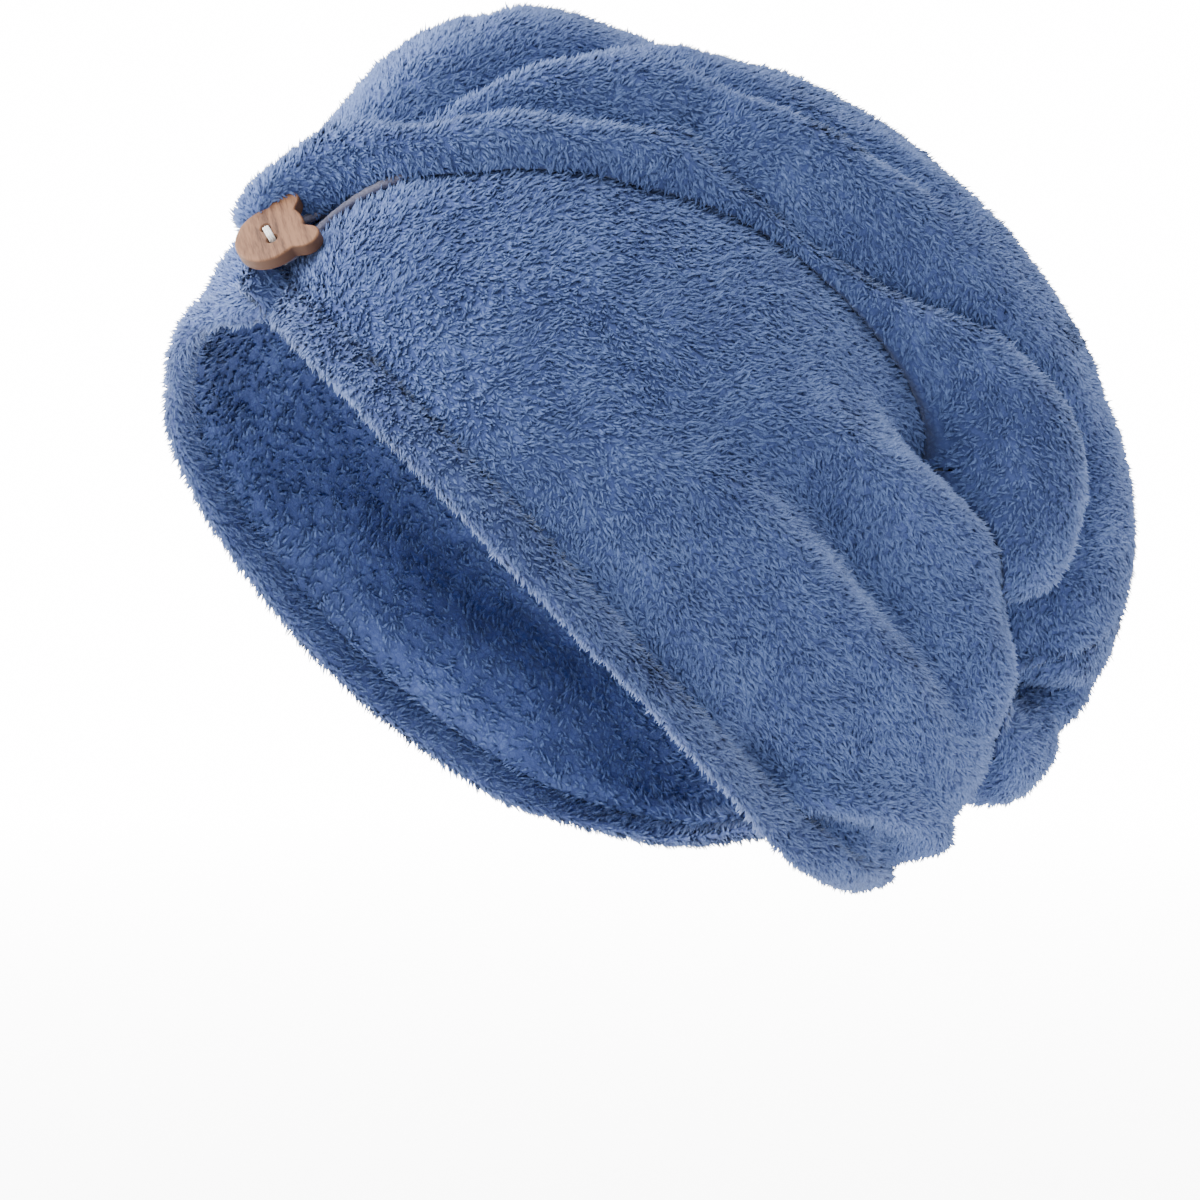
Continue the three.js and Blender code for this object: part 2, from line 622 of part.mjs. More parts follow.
function piece(name, body, material) {
  const mesh = new THREE.Mesh(geometryOf(body), material);
  mesh.name = name;
  return mesh;
}

const frame = buttonFrame();
const envelope = shellEnvelope();
const loop = cordBody(loopPoints(frame), LOOP_CORD, CORD_SIDES, 44);
const tunnel = tunnelBody(loopPoints(frame));
const notch = boardBody(2 * GAP, -SHANK, TAIL_RISE).transform(frame.elements);
const thread = threadBody().subtract(envelope.transform(frame.clone().invert().elements));

const shellGroup = new THREE.Group();
shellGroup.add(piece('near_panel', panelBody('near'), fleece));
shellGroup.add(piece('far_panel', panelBody('far'), fleece));
shellGroup.add(piece('near_hem', hemBody('near'), fleece));
shellGroup.add(piece('far_hem', hemBody('far'), fleece));
shellGroup.add(piece('tail', tailBody(envelope, tunnel, notch), fleece));
shellGroup.add(piece('elastic_loop', loop, elastic));

const buttonGroup = new THREE.Group();
frame.decompose(buttonGroup.position, buttonGroup.quaternion, buttonGroup.scale);
buttonGroup.add(piece('bear_button', buttonBody(), wood));
buttonGroup.add(piece('button_thread', thread, cotton));
shellGroup.add(buttonGroup);

// The highest point of the hollow comes to the origin.
const tilt = OPENING_TILT * RAD;
const reachUp = Math.hypot(
  (HALF_LENGTH - CLOTH) * Math.sin(tilt),
  (CROWN_RISE - CLOTH) * Math.cos(tilt),
);
const crown = new THREE.Vector3(
  0,
  (-Math.sin(tilt) * (HALF_LENGTH - CLOTH) ** 2) / reachUp,
  (Math.cos(tilt) * (CROWN_RISE - CLOTH) ** 2) / reachUp,
);
shellGroup.rotation.x = -tilt;
crown.applyAxisAngle(new THREE.Vector3(1, 0, 0), -tilt);
shellGroup.position.copy(crown).negate();

const turban = new THREE.Group();
turban.add(shellGroup);

export default turban;
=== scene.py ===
"""A plush hair turban towel in its worn shape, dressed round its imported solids.

The cloth pieces follow one shell: an ellipsoid tilted so that the opening slopes from the forehead down
to the nape. A place on it is (sigma, psi): sigma runs from the forehead (0) over the crown to the nape
(180), and psi from the wearer's left (0) over the top (90) to the right (180), in degrees. Lengths are
worked out in millimetres in the shell's own frame, and turned into metres in the row frame at the end.
"""

import logging
import math
from dataclasses import dataclass
from enum import Enum

import bmesh
import bpy
import numpy as np
from mathutils import Matrix, Vector, kdtree


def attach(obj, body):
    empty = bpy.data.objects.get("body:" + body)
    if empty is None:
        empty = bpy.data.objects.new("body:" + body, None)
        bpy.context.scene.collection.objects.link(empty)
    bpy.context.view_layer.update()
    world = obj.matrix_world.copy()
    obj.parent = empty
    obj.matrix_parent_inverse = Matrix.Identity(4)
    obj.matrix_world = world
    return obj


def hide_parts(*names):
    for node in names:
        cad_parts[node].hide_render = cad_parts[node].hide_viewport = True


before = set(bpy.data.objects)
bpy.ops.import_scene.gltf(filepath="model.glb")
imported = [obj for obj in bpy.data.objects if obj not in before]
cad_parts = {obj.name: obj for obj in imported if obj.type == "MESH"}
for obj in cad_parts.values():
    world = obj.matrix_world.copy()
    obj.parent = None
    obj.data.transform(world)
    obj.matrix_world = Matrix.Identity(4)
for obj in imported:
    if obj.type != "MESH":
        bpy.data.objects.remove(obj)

log = logging.getLogger("turban")
Array = np.ndarray

Colour = tuple[float, float, float]

BODY = "root"
MM = 0.001  # metres in a millimetre
GAP = 0.4  # between neighbouring solids
PROUD = 0.8  # how far the cloth's ground lies under the solids' faces
GROUND_SHADE = 0.3  # the nap value of the ground between the tufts, which paints it in shade
MEET = 0.3  # how far each side runs over the middle plane
EXP_RANGE = (-60, 200)  # exponents that stay inside a number's range
WHITE = (1.0, 1.0, 1.0, 1.0)


class Side(Enum):
    """The two halves of the turban, by the way they lie from the middle plane."""

    NEAR = 1
    FAR = -1


@dataclass(frozen=True)
class Fold:
    """One fold or dent in a side panel or the tail, along a bowed line over the shell.

    rise and reach are its height and half width in millimetres; grow and fade are the shares of its
    length over which it grows and dies away.
    """

    sigma0: float
    psi0: float
    sigma1: float
    psi1: float
    bow: float
    rise: float
    reach: float
    grow: float
    fade: float


# Main folds of each side panel, as in the solids, with the finer ones that only the cloth shows.
PANEL_FOLDS: dict[Side, list[Fold]] = {
    Side.NEAR: [
        Fold(9, 62, 62, 50, 0, 4.5, 22, 0.3, 0.5),
        Fold(104, 14, 168, 40, 4, 13.5, 26, 0.6, 0.35),
        Fold(66, 24, 136, 52, -7, 9, 9, 0.6, 0.3),
        Fold(104, 25, 142, 36, 0, 6.0, 10, 0.45, 0.4),
        Fold(84, 39, 124, 51, -2, -4.5, 6, 0.6, 0.3),
        Fold(86, 54, 130, 60, 0, 6, 11, 0.7, 0.3),
        Fold(56, 9, 150, 22, -1, 4.5, 6.5, 0.5, 0.4),
        Fold(66, 16, 144, 22, 3, -6.5, 7, 0.5, 0.4),
        Fold(66, 4, 122, -1, 1, -3.2, 5, 0.5, 0.4),
        Fold(47, -1, 126, -2, -3, -6.5, 6.5, 0.6, 0.2),
        Fold(118, -4, 172, 12, -4, 8, 11, 0.4, 0.4),
        Fold(100, -4, 121, -3, 0, -4, 4, 0.6, 0.3),
        Fold(115, -5, 160, 22, 0, 4, 4.2, 0.3, 0.3),
        Fold(117, -8, 160, 14, 0, -5, 3.6, 0.3, 0.4),
        Fold(60, 12, 84, 3, 0, 1.6, 5, 0.4, 0.4),
    ],
    Side.FAR: [
        Fold(-2, 2, 80, 4, 0, 8, 30, 0.3, 0.5),
        Fold(100, 16, 170, 30, 4, 12, 30, 0.6, 0.4),
        Fold(60, 34, 150, 40, -6, 5, 12, 0.6, 0.3),
        Fold(50, 10, 150, 16, -3, 3.5, 11, 0.5, 0.4),
        Fold(80, 18, 150, 28, 2, -4, 10, 0.5, 0.4),
        Fold(96, 0, 140, 3, 0, -5, 9, 0.6, 0.3),
        Fold(118, -2, 172, 12, -4, 7, 11, 0.4, 0.4),
        Fold(54, 1, 124, -1, -3, -5, 6.5, 0.6, 0.2),
        Fold(116, -3, 162, 20, 0, 3, 4.5, 0.3, 0.3),
    ],
}

# The rolls wound together into the tail: sigma, psi, and the shares for shoulder, half width and back.
TAIL_ROLLS: dict[str, list[tuple[float, float, float, float, float]]] = {
    "near_roll": [
        (7, 118, 0.8, 0.32, 0.4),
        (12, 104, 0.8, 0.36, 0.4),
        (18, 82, 0.8, 0.4, 0.45),
        (27, 62, 0.75, 0.4, 0.5),
        (36, 57, 0.7, 0.4, 0.5),
        (46, 56, 0.65, 0.42, 0.5),
        (60, 55, 0.6, 0.42, 0.5),
        (74, 51, 0.6, 0.4, 0.5),
        (90, 49, 0.7, 0.45, 0.6),
        (104, 51, 1.05, 0.7, 0.8),
        (113, 51, 1.3, 0.82, 0.85),
        (118, 46, 1.2, 0.7, 0.7),
        (117, 40, 0.9, 0.5, 0.5),
    ],
    "top_roll": [
        (22, 72, 0.7, 0.35, 0.4),
        (28, 67, 0.8, 0.42, 0.5),
        (34, 67, 0.9, 0.52, 0.55),
        (46, 70, 1.0, 0.7, 0.65),
        (60, 69, 1.05, 0.88, 0.75),
        (76, 66, 1.15, 0.95, 0.85),
        (92, 66, 1.3, 0.92, 0.85),
        (106, 69, 1.55, 0.9, 0.85),
        (118, 73, 1.9, 0.8, 0.8),
        (127, 71, 1.8, 0.6, 0.6),
    ],
    "crown_roll": [
        (46, 90, 0.9, 0.5, 0.5),
        (66, 91, 1.0, 0.8, 0.7),
        (90, 92, 1.15, 0.95, 0.8),
        (112, 92, 1.5, 0.9, 0.8),
        (126, 92, 1.8, 0.7, 0.7),
    ],
    "front_hump": [
        (19, 100, 0.6, 0.5, 0.5),
        (26, 91, 0.85, 0.75, 0.65),
        (34, 91, 1.15, 0.85, 0.85),
        (43, 94, 1.3, 0.85, 0.85),
        (52, 97, 1.1, 0.7, 0.7),
    ],
    "far_roll": [
        (14, 126, 0.45, 0.35, 0.4),
        (25, 112, 0.65, 0.55, 0.55),
        (38, 105, 1.2, 0.8, 0.85),
        (52, 104, 1.2, 0.95, 0.85),
        (78, 109, 1.05, 1.0, 0.8),
        (104, 113, 1.1, 1.05, 0.8),
        (124, 113, 1.3, 1.0, 0.85),
        (138, 109, 1.2, 0.8, 0.75),
    ],
    "side_roll": [
        (24, 128, 0.5, 0.4, 0.3),
        (50, 126, 0.6, 0.7, 0.5),
        (90, 131, 0.65, 0.8, 0.6),
        (122, 133, 0.8, 0.8, 0.65),
        (142, 127, 0.8, 0.7, 0.6),
    ],
    "pouch": [
        (118, 84, 1.3, 1.0, 1.2),
        (126, 80, 1.5, 1.5, 1.6),
        (135, 78, 1.45, 1.75, 1.5),
        (143, 77, 1.3, 1.5, 1.3),
    ],
    "root_roll": [
        (141, 40, 0.9, 0.5, 0.6),
        (150, 52, 1.4, 0.65, 0.8),
        (155, 76, 1.45, 0.7, 0.9),
        (154, 104, 1.3, 0.7, 0.8),
        (147, 124, 0.9, 0.6, 0.6),
    ],
}

# Creases pressed into the tail's rolls.
TAIL_CREASES: list[Fold] = [
    Fold(134, 27, 143.5, 54, 0, -16, 6.5, 0.1, 0.25),
    Fold(50, 68, 92, 60, -1, -4.0, 3.0, 0.3, 0.4),
    Fold(20, 68, 61, 61, -3, -5.5, 3.4, 0.25, 0.12),
    Fold(54, 61, 98, 55, -4, -6.0, 4.0, 0.15, 0.35),
    Fold(18, 74, 57, 80, -4, -4.5, 4.0, 0.3, 0.4),
    Fold(44, 80, 112, 79, -1, -4.5, 4.0, 0.3, 0.4),
    Fold(50, 73, 92, 68, -3, -2.2, 4.5, 0.5, 0.5),
    Fold(92, 50, 116, 46, 1, -2.0, 3.0, 0.5, 0.4),
    Fold(30, 80, 60, 112, 4, -2.0, 3.5, 0.5, 0.5),
    Fold(84, 120, 130, 122, 3, -2.5, 4.0, 0.5, 0.5),
    Fold(96, 84, 132, 90, 0, -2.5, 3.5, 0.5, 0.5),
    Fold(40, 118, 84, 116, 3, -2.5, 3.5, 0.5, 0.5),
    Fold(60, 134, 120, 138, 3, -2.0, 3.5, 0.5, 0.5),
]

# The tail's outline on the shell: sigma, and the psi of its near and far edges.
TAIL_EDGES: list[tuple[float, float, float]] = [
    (6.5, 99, 124),
    (9, 93, 138),
    (13, 79, 147),
    (18, 65, 145),
    (25, 54, 143),
    (33, 50, 142),
    (44, 51, 142),
    (64, 52, 144),
    (90, 48, 146),
    (106, 45, 148),
    (116, 37, 148),
    (130, 31, 146),
    (144, 25, 142),
    (154, 28, 138),
    (162, 40, 130),
]


# Numbers and noise


def smooth(t: Array) -> Array:
    """A smooth step from 0 to 1."""
    s = np.clip(t, 0.0, 1.0)
    return s * s * (3 - 2 * s)


def unit(v: Array) -> Array:
    """Vectors scaled to length one."""
    return v / np.maximum(np.linalg.norm(v, axis=-1, keepdims=True), 1e-12)


def circle(count: int) -> Array:
    """Angles evenly all round."""
    return np.arange(count) / count * 2 * math.pi


def quarter_round(share: Array) -> Array:
    """A quarter circle's rise from 0 to 1 over shares from 0 to 1."""
    return np.sqrt(1 - (1 - np.minimum(1, share)) ** 2)


# Numbers that scramble a noise cell's place into its value
SEED_STEP = 31.7
CELL_PRIMES = (73856093, 19349663, 83492791)
SEED_PRIME = 40503
SCRAMBLES = ((15, 2246822519), (13, 3266489917))
WORD = 0xFFFFFFFF
VALUE_BITS = 0xFFFF


def value_noise(points: Array, size: float, seed: int) -> Array:
    """Smooth noise from -1 to 1 over points.

    Args:
        points: Places, with three numbers in the last axis.
        size: The width of its humps, in the points' own unit.
        seed: Which of many such noises.

    Returns:
        One value for each point.
    """
    q = points / size + SEED_STEP * seed
    cell = np.floor(q).astype(np.int64)
    t = q - cell
    t = t * t * (3 - 2 * t)
    total = np.zeros(points.shape[:-1])
    for corner in range(8):
        step = np.array([corner & 1, corner >> 1 & 1, corner >> 2 & 1])
        at = cell + step
        x, y, z = (at[..., k] * CELL_PRIMES[k] for k in range(3))
        mixed = (x ^ y ^ z ^ seed * SEED_PRIME) & WORD
        for shift, prime in SCRAMBLES:
            mixed = ((mixed ^ mixed >> shift) * prime) & WORD
        value = (mixed >> 8 & VALUE_BITS) / (VALUE_BITS / 2) - 1
        weight = np.prod(np.where(step == 1, t, 1 - t), axis=-1)
        total += value * weight
    return total


def rows_spline(rows: Array, place: Array) -> Array:
    """Values between rows of a table, smooth through each row, at places counted in rows."""
    last = len(rows) - 1
    i = np.minimum(last - 1, np.floor(place).astype(int))
    f = (place - i)[:, None]
    a, b, c, d = (rows[np.clip(i + k, 0, last)] for k in (-1, 0, 1, 2))
    return b + f / 2 * (c - a + f * (2 * a - 5 * b + 4 * c - d + f * (3 * (b - c) + d - a)))


# The shell that the cloth follows


@dataclass(frozen=True)
class Shell:
    """The shell under the side panels' folds, with its hem line. Millimetres and degrees."""

    half_length: float = 95.0
    half_width: float = 80.0
    crown_rise: float = 106.0
    tilt: float = 45.0
    cloth: float = 3.0
    hem_width: float = 9.0
    near_sag: float = 20.0
    far_sag: float = 27.0
    nape_rise: float = 10.0
    brow_tuck: float = 5.0
    nape_tuck: float = 8.0
    tuck_height: float = 0.18
    tuck_drop: float = 0.02
    tuck_start: float = 0.55
    tuck_run: float = 0.4
    nape_start: float = 120.0
    nape_run: float = 60.0
    halvings: int = 40

    @property
    def half(self) -> Array:
        """The three half sizes."""
        return np.array([self.half_width, self.half_length, self.crown_rise])

    def normal(self, point: Array) -> Array:
        """The direction square to the shell at a point."""
        return unit(point / self.half**2)

    def place(self, shares: Array, lift: Array) -> Array:
        """A place at shares of the half sizes, drawn in at brow and nape, and lifted off the shell."""
        point = shares * self.half
        normal = self.normal(point)
        along, up = shares[..., 1], shares[..., 2]
        low = 1 - smooth((up + self.tuck_drop) / self.tuck_height)
        point = point.copy()
        point[..., 1] += low * self.brow_tuck * smooth((-along - self.tuck_start) / self.tuck_run)
        point[..., 1] -= low * self.nape_tuck * smooth((along - self.tuck_start) / self.tuck_run)
        return point + normal * np.asarray(lift)[..., None]

    def point(self, sigma: Array, psi: Array, lift: Array) -> Array:
        """The place at sigma and psi, at a height over the shell."""
        s, p = np.broadcast_arrays(np.radians(sigma), np.radians(psi))
        shares = np.stack([np.sin(s) * np.cos(p), -np.cos(s), np.sin(s) * np.sin(p)], -1)
        return self.place(shares, np.broadcast_to(lift, s.shape))

    def fold_height(self, folds: list[Fold], sigma: Array, psi: Array) -> Array:
        """How far folds push a side panel's face off the shell."""
        radius = (self.half_width + self.crown_rise) / 2 * np.sin(np.radians(sigma))
        height = np.zeros(np.broadcast(sigma, psi).shape)
        for f in folds:
            t = (sigma - f.sigma0) / (f.sigma1 - f.sigma0)
            line = f.psi0 + (f.psi1 - f.psi0) * t + 4 * f.bow * t * (1 - t)
            off = np.radians(psi - line) * radius / f.reach
            full = smooth(t / f.grow) * smooth((1 - t) / f.fade)
            height = height + np.where((t > 0) & (t < 1), f.rise * full * np.exp(-off * off), 0.0)
        return height

    def edge_rise(self, side: Side, turn: Array) -> Array:
        """How far the hem's edge stands over the opening's plane."""
        sag = self.near_sag if side is Side.NEAR else self.far_sag
        t = np.abs(turn)
        rise = smooth((t - self.nape_start) / self.nape_run)
        return self.nape_rise * rise - sag * np.sin(np.radians(t))

    def rim_shares(self, side: Side, turn: Array, height: float) -> Array:
        """A place round the opening at a height over the hem's edge, as shares of the half sizes."""
        up = (height + self.edge_rise(side, turn)) / self.crown_rise
        size = np.sqrt(1 - up * up)
        turned = np.radians(turn)
        return np.stack([size * np.sin(turned), -size * np.cos(turned), up], -1)

    def level_psi(self, side: Side, sigma: Array, height: float) -> Array:
        """The psi at which the line at that height over the hem's edge crosses each sigma."""
        low, high = np.zeros(len(sigma)), np.full(len(sigma), 180.0)
        target = -np.cos(np.radians(sigma))
        for _ in range(self.halvings):
            turn = (low + high) / 2
            before = self.rim_shares(side, turn, height)[:, 1] < target
            low, high = np.where(before, turn, low), np.where(before, high, turn)
        shares = self.rim_shares(side, low, height)
        return np.degrees(np.arctan2(shares[:, 2], shares[:, 0]))

    def end_sigma(self, side: Side, turn: float, height: float) -> float:
        """The sigma at which that line meets the middle plane."""
        return math.degrees(math.acos(-self.rim_shares(side, np.array(turn), height)[1]))

    def rim_point(self, side: Side, turn: Array, height: float, lift: Array) -> Array:
        """A place round the opening, lifted off the side panel's face."""
        shares = self.rim_shares(side, turn, height)
        sigma = np.degrees(np.arccos(-shares[:, 1]))
        psi = np.degrees(np.arctan2(shares[:, 2], np.abs(shares[:, 0])))
        return self.place(shares, self.fold_height(PANEL_FOLDS[side], sigma, psi) + lift)

    def to_row(self, points: Array) -> Array:
        """Points of the shell's frame in the row frame, in metres."""
        t = math.radians(self.tilt)
        length, rise = self.half_length - self.cloth, self.crown_rise - self.cloth
        reach = math.hypot(length * math.sin(t), rise * math.cos(t))
        crown = np.array([0.0, -math.sin(t) * length**2 / reach, math.cos(t) * rise**2 / reach])
        turn = np.array([[1, 0, 0], [0, math.cos(t), math.sin(t)], [0, -math.sin(t), math.cos(t)]])
        return (points - crown) @ turn.T * MM


SHELL = Shell()


# Meshes


@dataclass
class Surface:
    """A grid of points over a piece's outer face, in millimetres in the shell's frame."""

    points: Array
    comb: Array
    cover: Array | float = 1.0
    inside: bool = False

    @property
    def normals(self) -> Array:
        """Directions square to the face, outwards from the shell, or inwards for its lining."""
        along = np.gradient(self.points, axis=0)
        across = np.gradient(self.points, axis=1)
        normal = unit(np.cross(along, across))
        away = (normal * SHELL.normal(self.points)).sum(-1).mean() > 0
        return normal if away != self.inside else -normal


def flat_index(rows: int, columns: int, start: int = 0) -> Array:
    """The numbers of a grid's points."""
    return start + np.arange(rows * columns).reshape(rows, columns)


def grid_faces(index: Array) -> list[tuple[int, ...]]:
    """The four-sided faces of a grid of points."""
    a, b = index[:-1, :-1], index[1:, :-1]
    c, d = index[1:, 1:], index[:-1, 1:]
    return [tuple(face) for face in np.stack([a, b, c, d], -1).reshape(-1, 4).tolist()]


def border(index: Array) -> Array:
    """The numbers round a grid's border, once round."""
    return np.concatenate([index[:-1, 0], index[-1, :-1], index[:0:-1, -1], index[0, :0:-1]])


def lowest(heights: Array, reach: int) -> Array:
    """The lowest height within reach rows and columns of each grid point."""
    rows, columns = heights.shape
    wide = np.pad(heights, reach, mode="edge")
    steps = range(2 * reach + 1)
    return np.min([wide[i : i + rows, j : j + columns] for i in steps for j in steps], axis=0)


def shell_solid(outer: Array, inner: Array, step: int) -> tuple[Array, list[tuple[int, ...]]]:
    """A closed wall between an outer grid and a coarser inner one.

    Args:
        outer: The outer face's points, rows by columns.
        inner: The inner face's points, on every step-th row and column of the outer ones.
        step: How many outer spaces lie over one inner space.

    Returns:
        The points and the faces.
    """
    top = flat_index(*outer.shape[:2])
    under = flat_index(*inner.shape[:2], start=top.size)
    faces = grid_faces(top) + [face[::-1] for face in grid_faces(under)]
    upper, lower = border(top), border(under)
    middle = (step + 1) // 2
    for k in range(len(lower)):
        here, there = int(lower[k]), int(lower[(k + 1) % len(lower)])
        for m in range(step):
            a = int(upper[(step * k + m) % len(upper)])
            b = int(upper[(step * k + m + 1) % len(upper)])
            faces.append((b, a, here if m < middle else there))
        faces.append((int(upper[(step * k + middle) % len(upper)]), here, there))
    return np.concatenate([outer.reshape(-1, 3), inner.reshape(-1, 3)]), faces


def lofted(rings: Array) -> tuple[Array, list[tuple[int, ...]]]:
    """A closed body from rings of points, each end closed by a fan.

    Args:
        rings: Points, rings by places round each ring.

    Returns:
        The points and the faces.
    """
    count, sides = rings.shape[:2]
    index = flat_index(count, sides)
    closed = np.concatenate([index, index[:, :1]], axis=1)
    faces: list[tuple[int, ...]] = grid_faces(closed)
    first, last = count * sides, count * sides + 1
    for j in range(sides):
        k = (j + 1) % sides
        faces.append((first, int(index[0, j]), int(index[0, k])))
        faces.append((last, int(index[-1, k]), int(index[-1, j])))
    ends = np.stack([rings[0].mean(0), rings[-1].mean(0)])
    return np.concatenate([rings.reshape(-1, 3), ends]), faces


def new_piece(
    name: str,
    points: Array,
    faces: list[tuple[int, ...]],
    material: bpy.types.Material,
) -> bpy.types.Object:
    """Makes a smooth-shaded piece that rides on the body.

    Args:
        name: The piece's name.
        points: Its points, in millimetres in the shell's frame.
        faces: Its faces, as numbers of points.
        material: Its finish.

    Returns:
        The new object.
    """
    mesh = bpy.data.meshes.new(name)
    mesh.from_pydata(SHELL.to_row(points).tolist(), [], faces)
    mesh.polygons.foreach_set("use_smooth", np.ones(len(mesh.polygons), dtype=bool))
    mesh.materials.append(material)
    mesh.update()
    tidy_normals(mesh)
    piece = bpy.data.objects.new(name, mesh)
    bpy.context.scene.collection.objects.link(piece)
    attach(piece, BODY)
    log.info("%s: %d faces", name, len(mesh.polygons))
    return piece


def ground_piece(
    name: str, points: Array, faces: list[tuple[int, ...]], material: bpy.types.Material
) -> bpy.types.Object:
    """Makes a piece of the cloth's ground, which shows between the tufts in painted shade. Arguments as for
    new_piece.
    """
    piece = new_piece(name, points, faces, material)
    # The ground's low nap value gives it a darker colour: painted shade between the tufts.
    store_values(piece.data, "nap_shade_and_light", np.full(len(points), GROUND_SHADE))
    return piece


def tidy_normals(mesh: bpy.types.Mesh) -> None:
    """Turns a closed mesh's faces outwards."""
    work = bmesh.new()
    work.from_mesh(mesh)
    if work.calc_volume(signed=True) < 0:
        bmesh.ops.reverse_faces(work, faces=work.faces)
        work.to_mesh(mesh)
    work.free()
    mesh.update()


def store_values(mesh: bpy.types.Mesh, name: str, values: Array) -> None:
    """Stores one number for each point of a mesh, for its material to read."""
    layer = mesh.attributes.new(name, "FLOAT", "POINT")
    layer.data.foreach_set("value", values.astype(np.float32))


def store_ways(mesh: bpy.types.Mesh, name: str, ways: Array) -> None:
    """Stores one direction of the shell's frame for each point of a mesh, turned into the row frame."""
    turned = SHELL.to_row(ways) - SHELL.to_row(np.zeros(3))
    layer = mesh.attributes.new(name, "FLOAT_VECTOR", "POINT")
    layer.data.foreach_set("vector", unit(turned).astype(np.float32).ravel())


# Finishes


def set_inputs(node: bpy.types.Node, values: dict) -> None:
    """Sets a node's input sockets, by name or place."""
    for socket, value in values.items():
        node.inputs[socket].default_value = value


class NodeTree:
    """Adds nodes to a tree, set up by keywords."""

    def __init__(self, tree: bpy.types.NodeTree) -> None:
        """Keeps the tree."""
        self.tree = tree

    def add(self, kind: str, values: dict | None = None, **settings: object) -> bpy.types.Node:
        """Adds a node.

        Args:
            kind: The node's type.
            values: Numbers or colours for its input sockets, by name or place.
            **settings: Its properties.

        Returns:
            The node.
        """
        node = self.tree.nodes.new(kind)
        for name, value in settings.items():
            setattr(node, name, value)
        set_inputs(node, values or {})
        return node

    def join(self, source: bpy.types.NodeSocket, target: bpy.types.NodeSocket) -> None:
        """Links two sockets."""
        self.tree.links.new(source, target)

    def math(self, operation: str, first: object, second: object = None) -> bpy.types.NodeSocket:
        """Adds a sum or product of sockets and numbers, and returns its result."""
        node = self.add("ShaderNodeMath", operation=operation)
        for place, value in enumerate([first, second]):
            if isinstance(value, bpy.types.NodeSocket):
                self.join(value, node.inputs[place])
            elif value is not None:
                node.inputs[place].default_value = value
        return node.outputs[0]

    def place(self) -> bpy.types.NodeSocket:
        """Adds the place on the object, in metres."""
        return self.add("ShaderNodeTexCoord").outputs["Object"]

    def stored(self, name: str, output: str = "Fac") -> bpy.types.NodeSocket:
        """Adds what the mesh stores under a name."""
        return self.add("ShaderNodeAttribute", attribute_name=name).outputs[output]

    def bump(self, height: bpy.types.NodeSocket, strength: float, distance: float) -> bpy.types.Node:
        """Adds a bump from a height, at a distance in metres."""
        node = self.add("ShaderNodeBump", {"Strength": strength, "Distance": distance})
        self.join(height, node.inputs["Height"])
        return node

    def noise(self, vector: bpy.types.NodeSocket, size: float, detail: float = 2.0) -> bpy.types.NodeSocket:
        """Adds a noise whose humps are about that size in metres, and returns its value."""
        values = {"Scale": 1 / size, "Detail": detail, "Roughness": 0.55}
        node = self.add("ShaderNodeTexNoise", values, noise_dimensions="3D")
        self.join(vector, node.inputs["Vector"])
        return node.outputs["Fac"]

    def ramp(self, value: bpy.types.NodeSocket, stops: list[tuple[float, Colour]]) -> bpy.types.NodeSocket:
        """Adds a colour ramp over a value, and returns its colour."""
        node = self.add("ShaderNodeValToRGB")
        elements = node.color_ramp.elements
        for place, _ in stops[len(elements) :]:
            elements.new(place)
        for element, (place, colour) in zip(elements, stops):
            element.position = place
            element.color = (*colour, 1.0)
        self.join(value, node.inputs["Fac"])
        return node.outputs["Color"]


def new_material(name: str, values: dict) -> tuple[bpy.types.Material, NodeTree, bpy.types.Node]:
    """Starts a material.

    Args:
        name: The material's name.
        values: Numbers and colours for its shader's sockets, by name.

    Returns:
        The material, its nodes and its shader.
    """
    made = bpy.data.materials.new(name)
    made.use_nodes = True
    shader = made.node_tree.nodes["Principled BSDF"]
    set_inputs(shader, values)
    return made, NodeTree(made.node_tree), shader


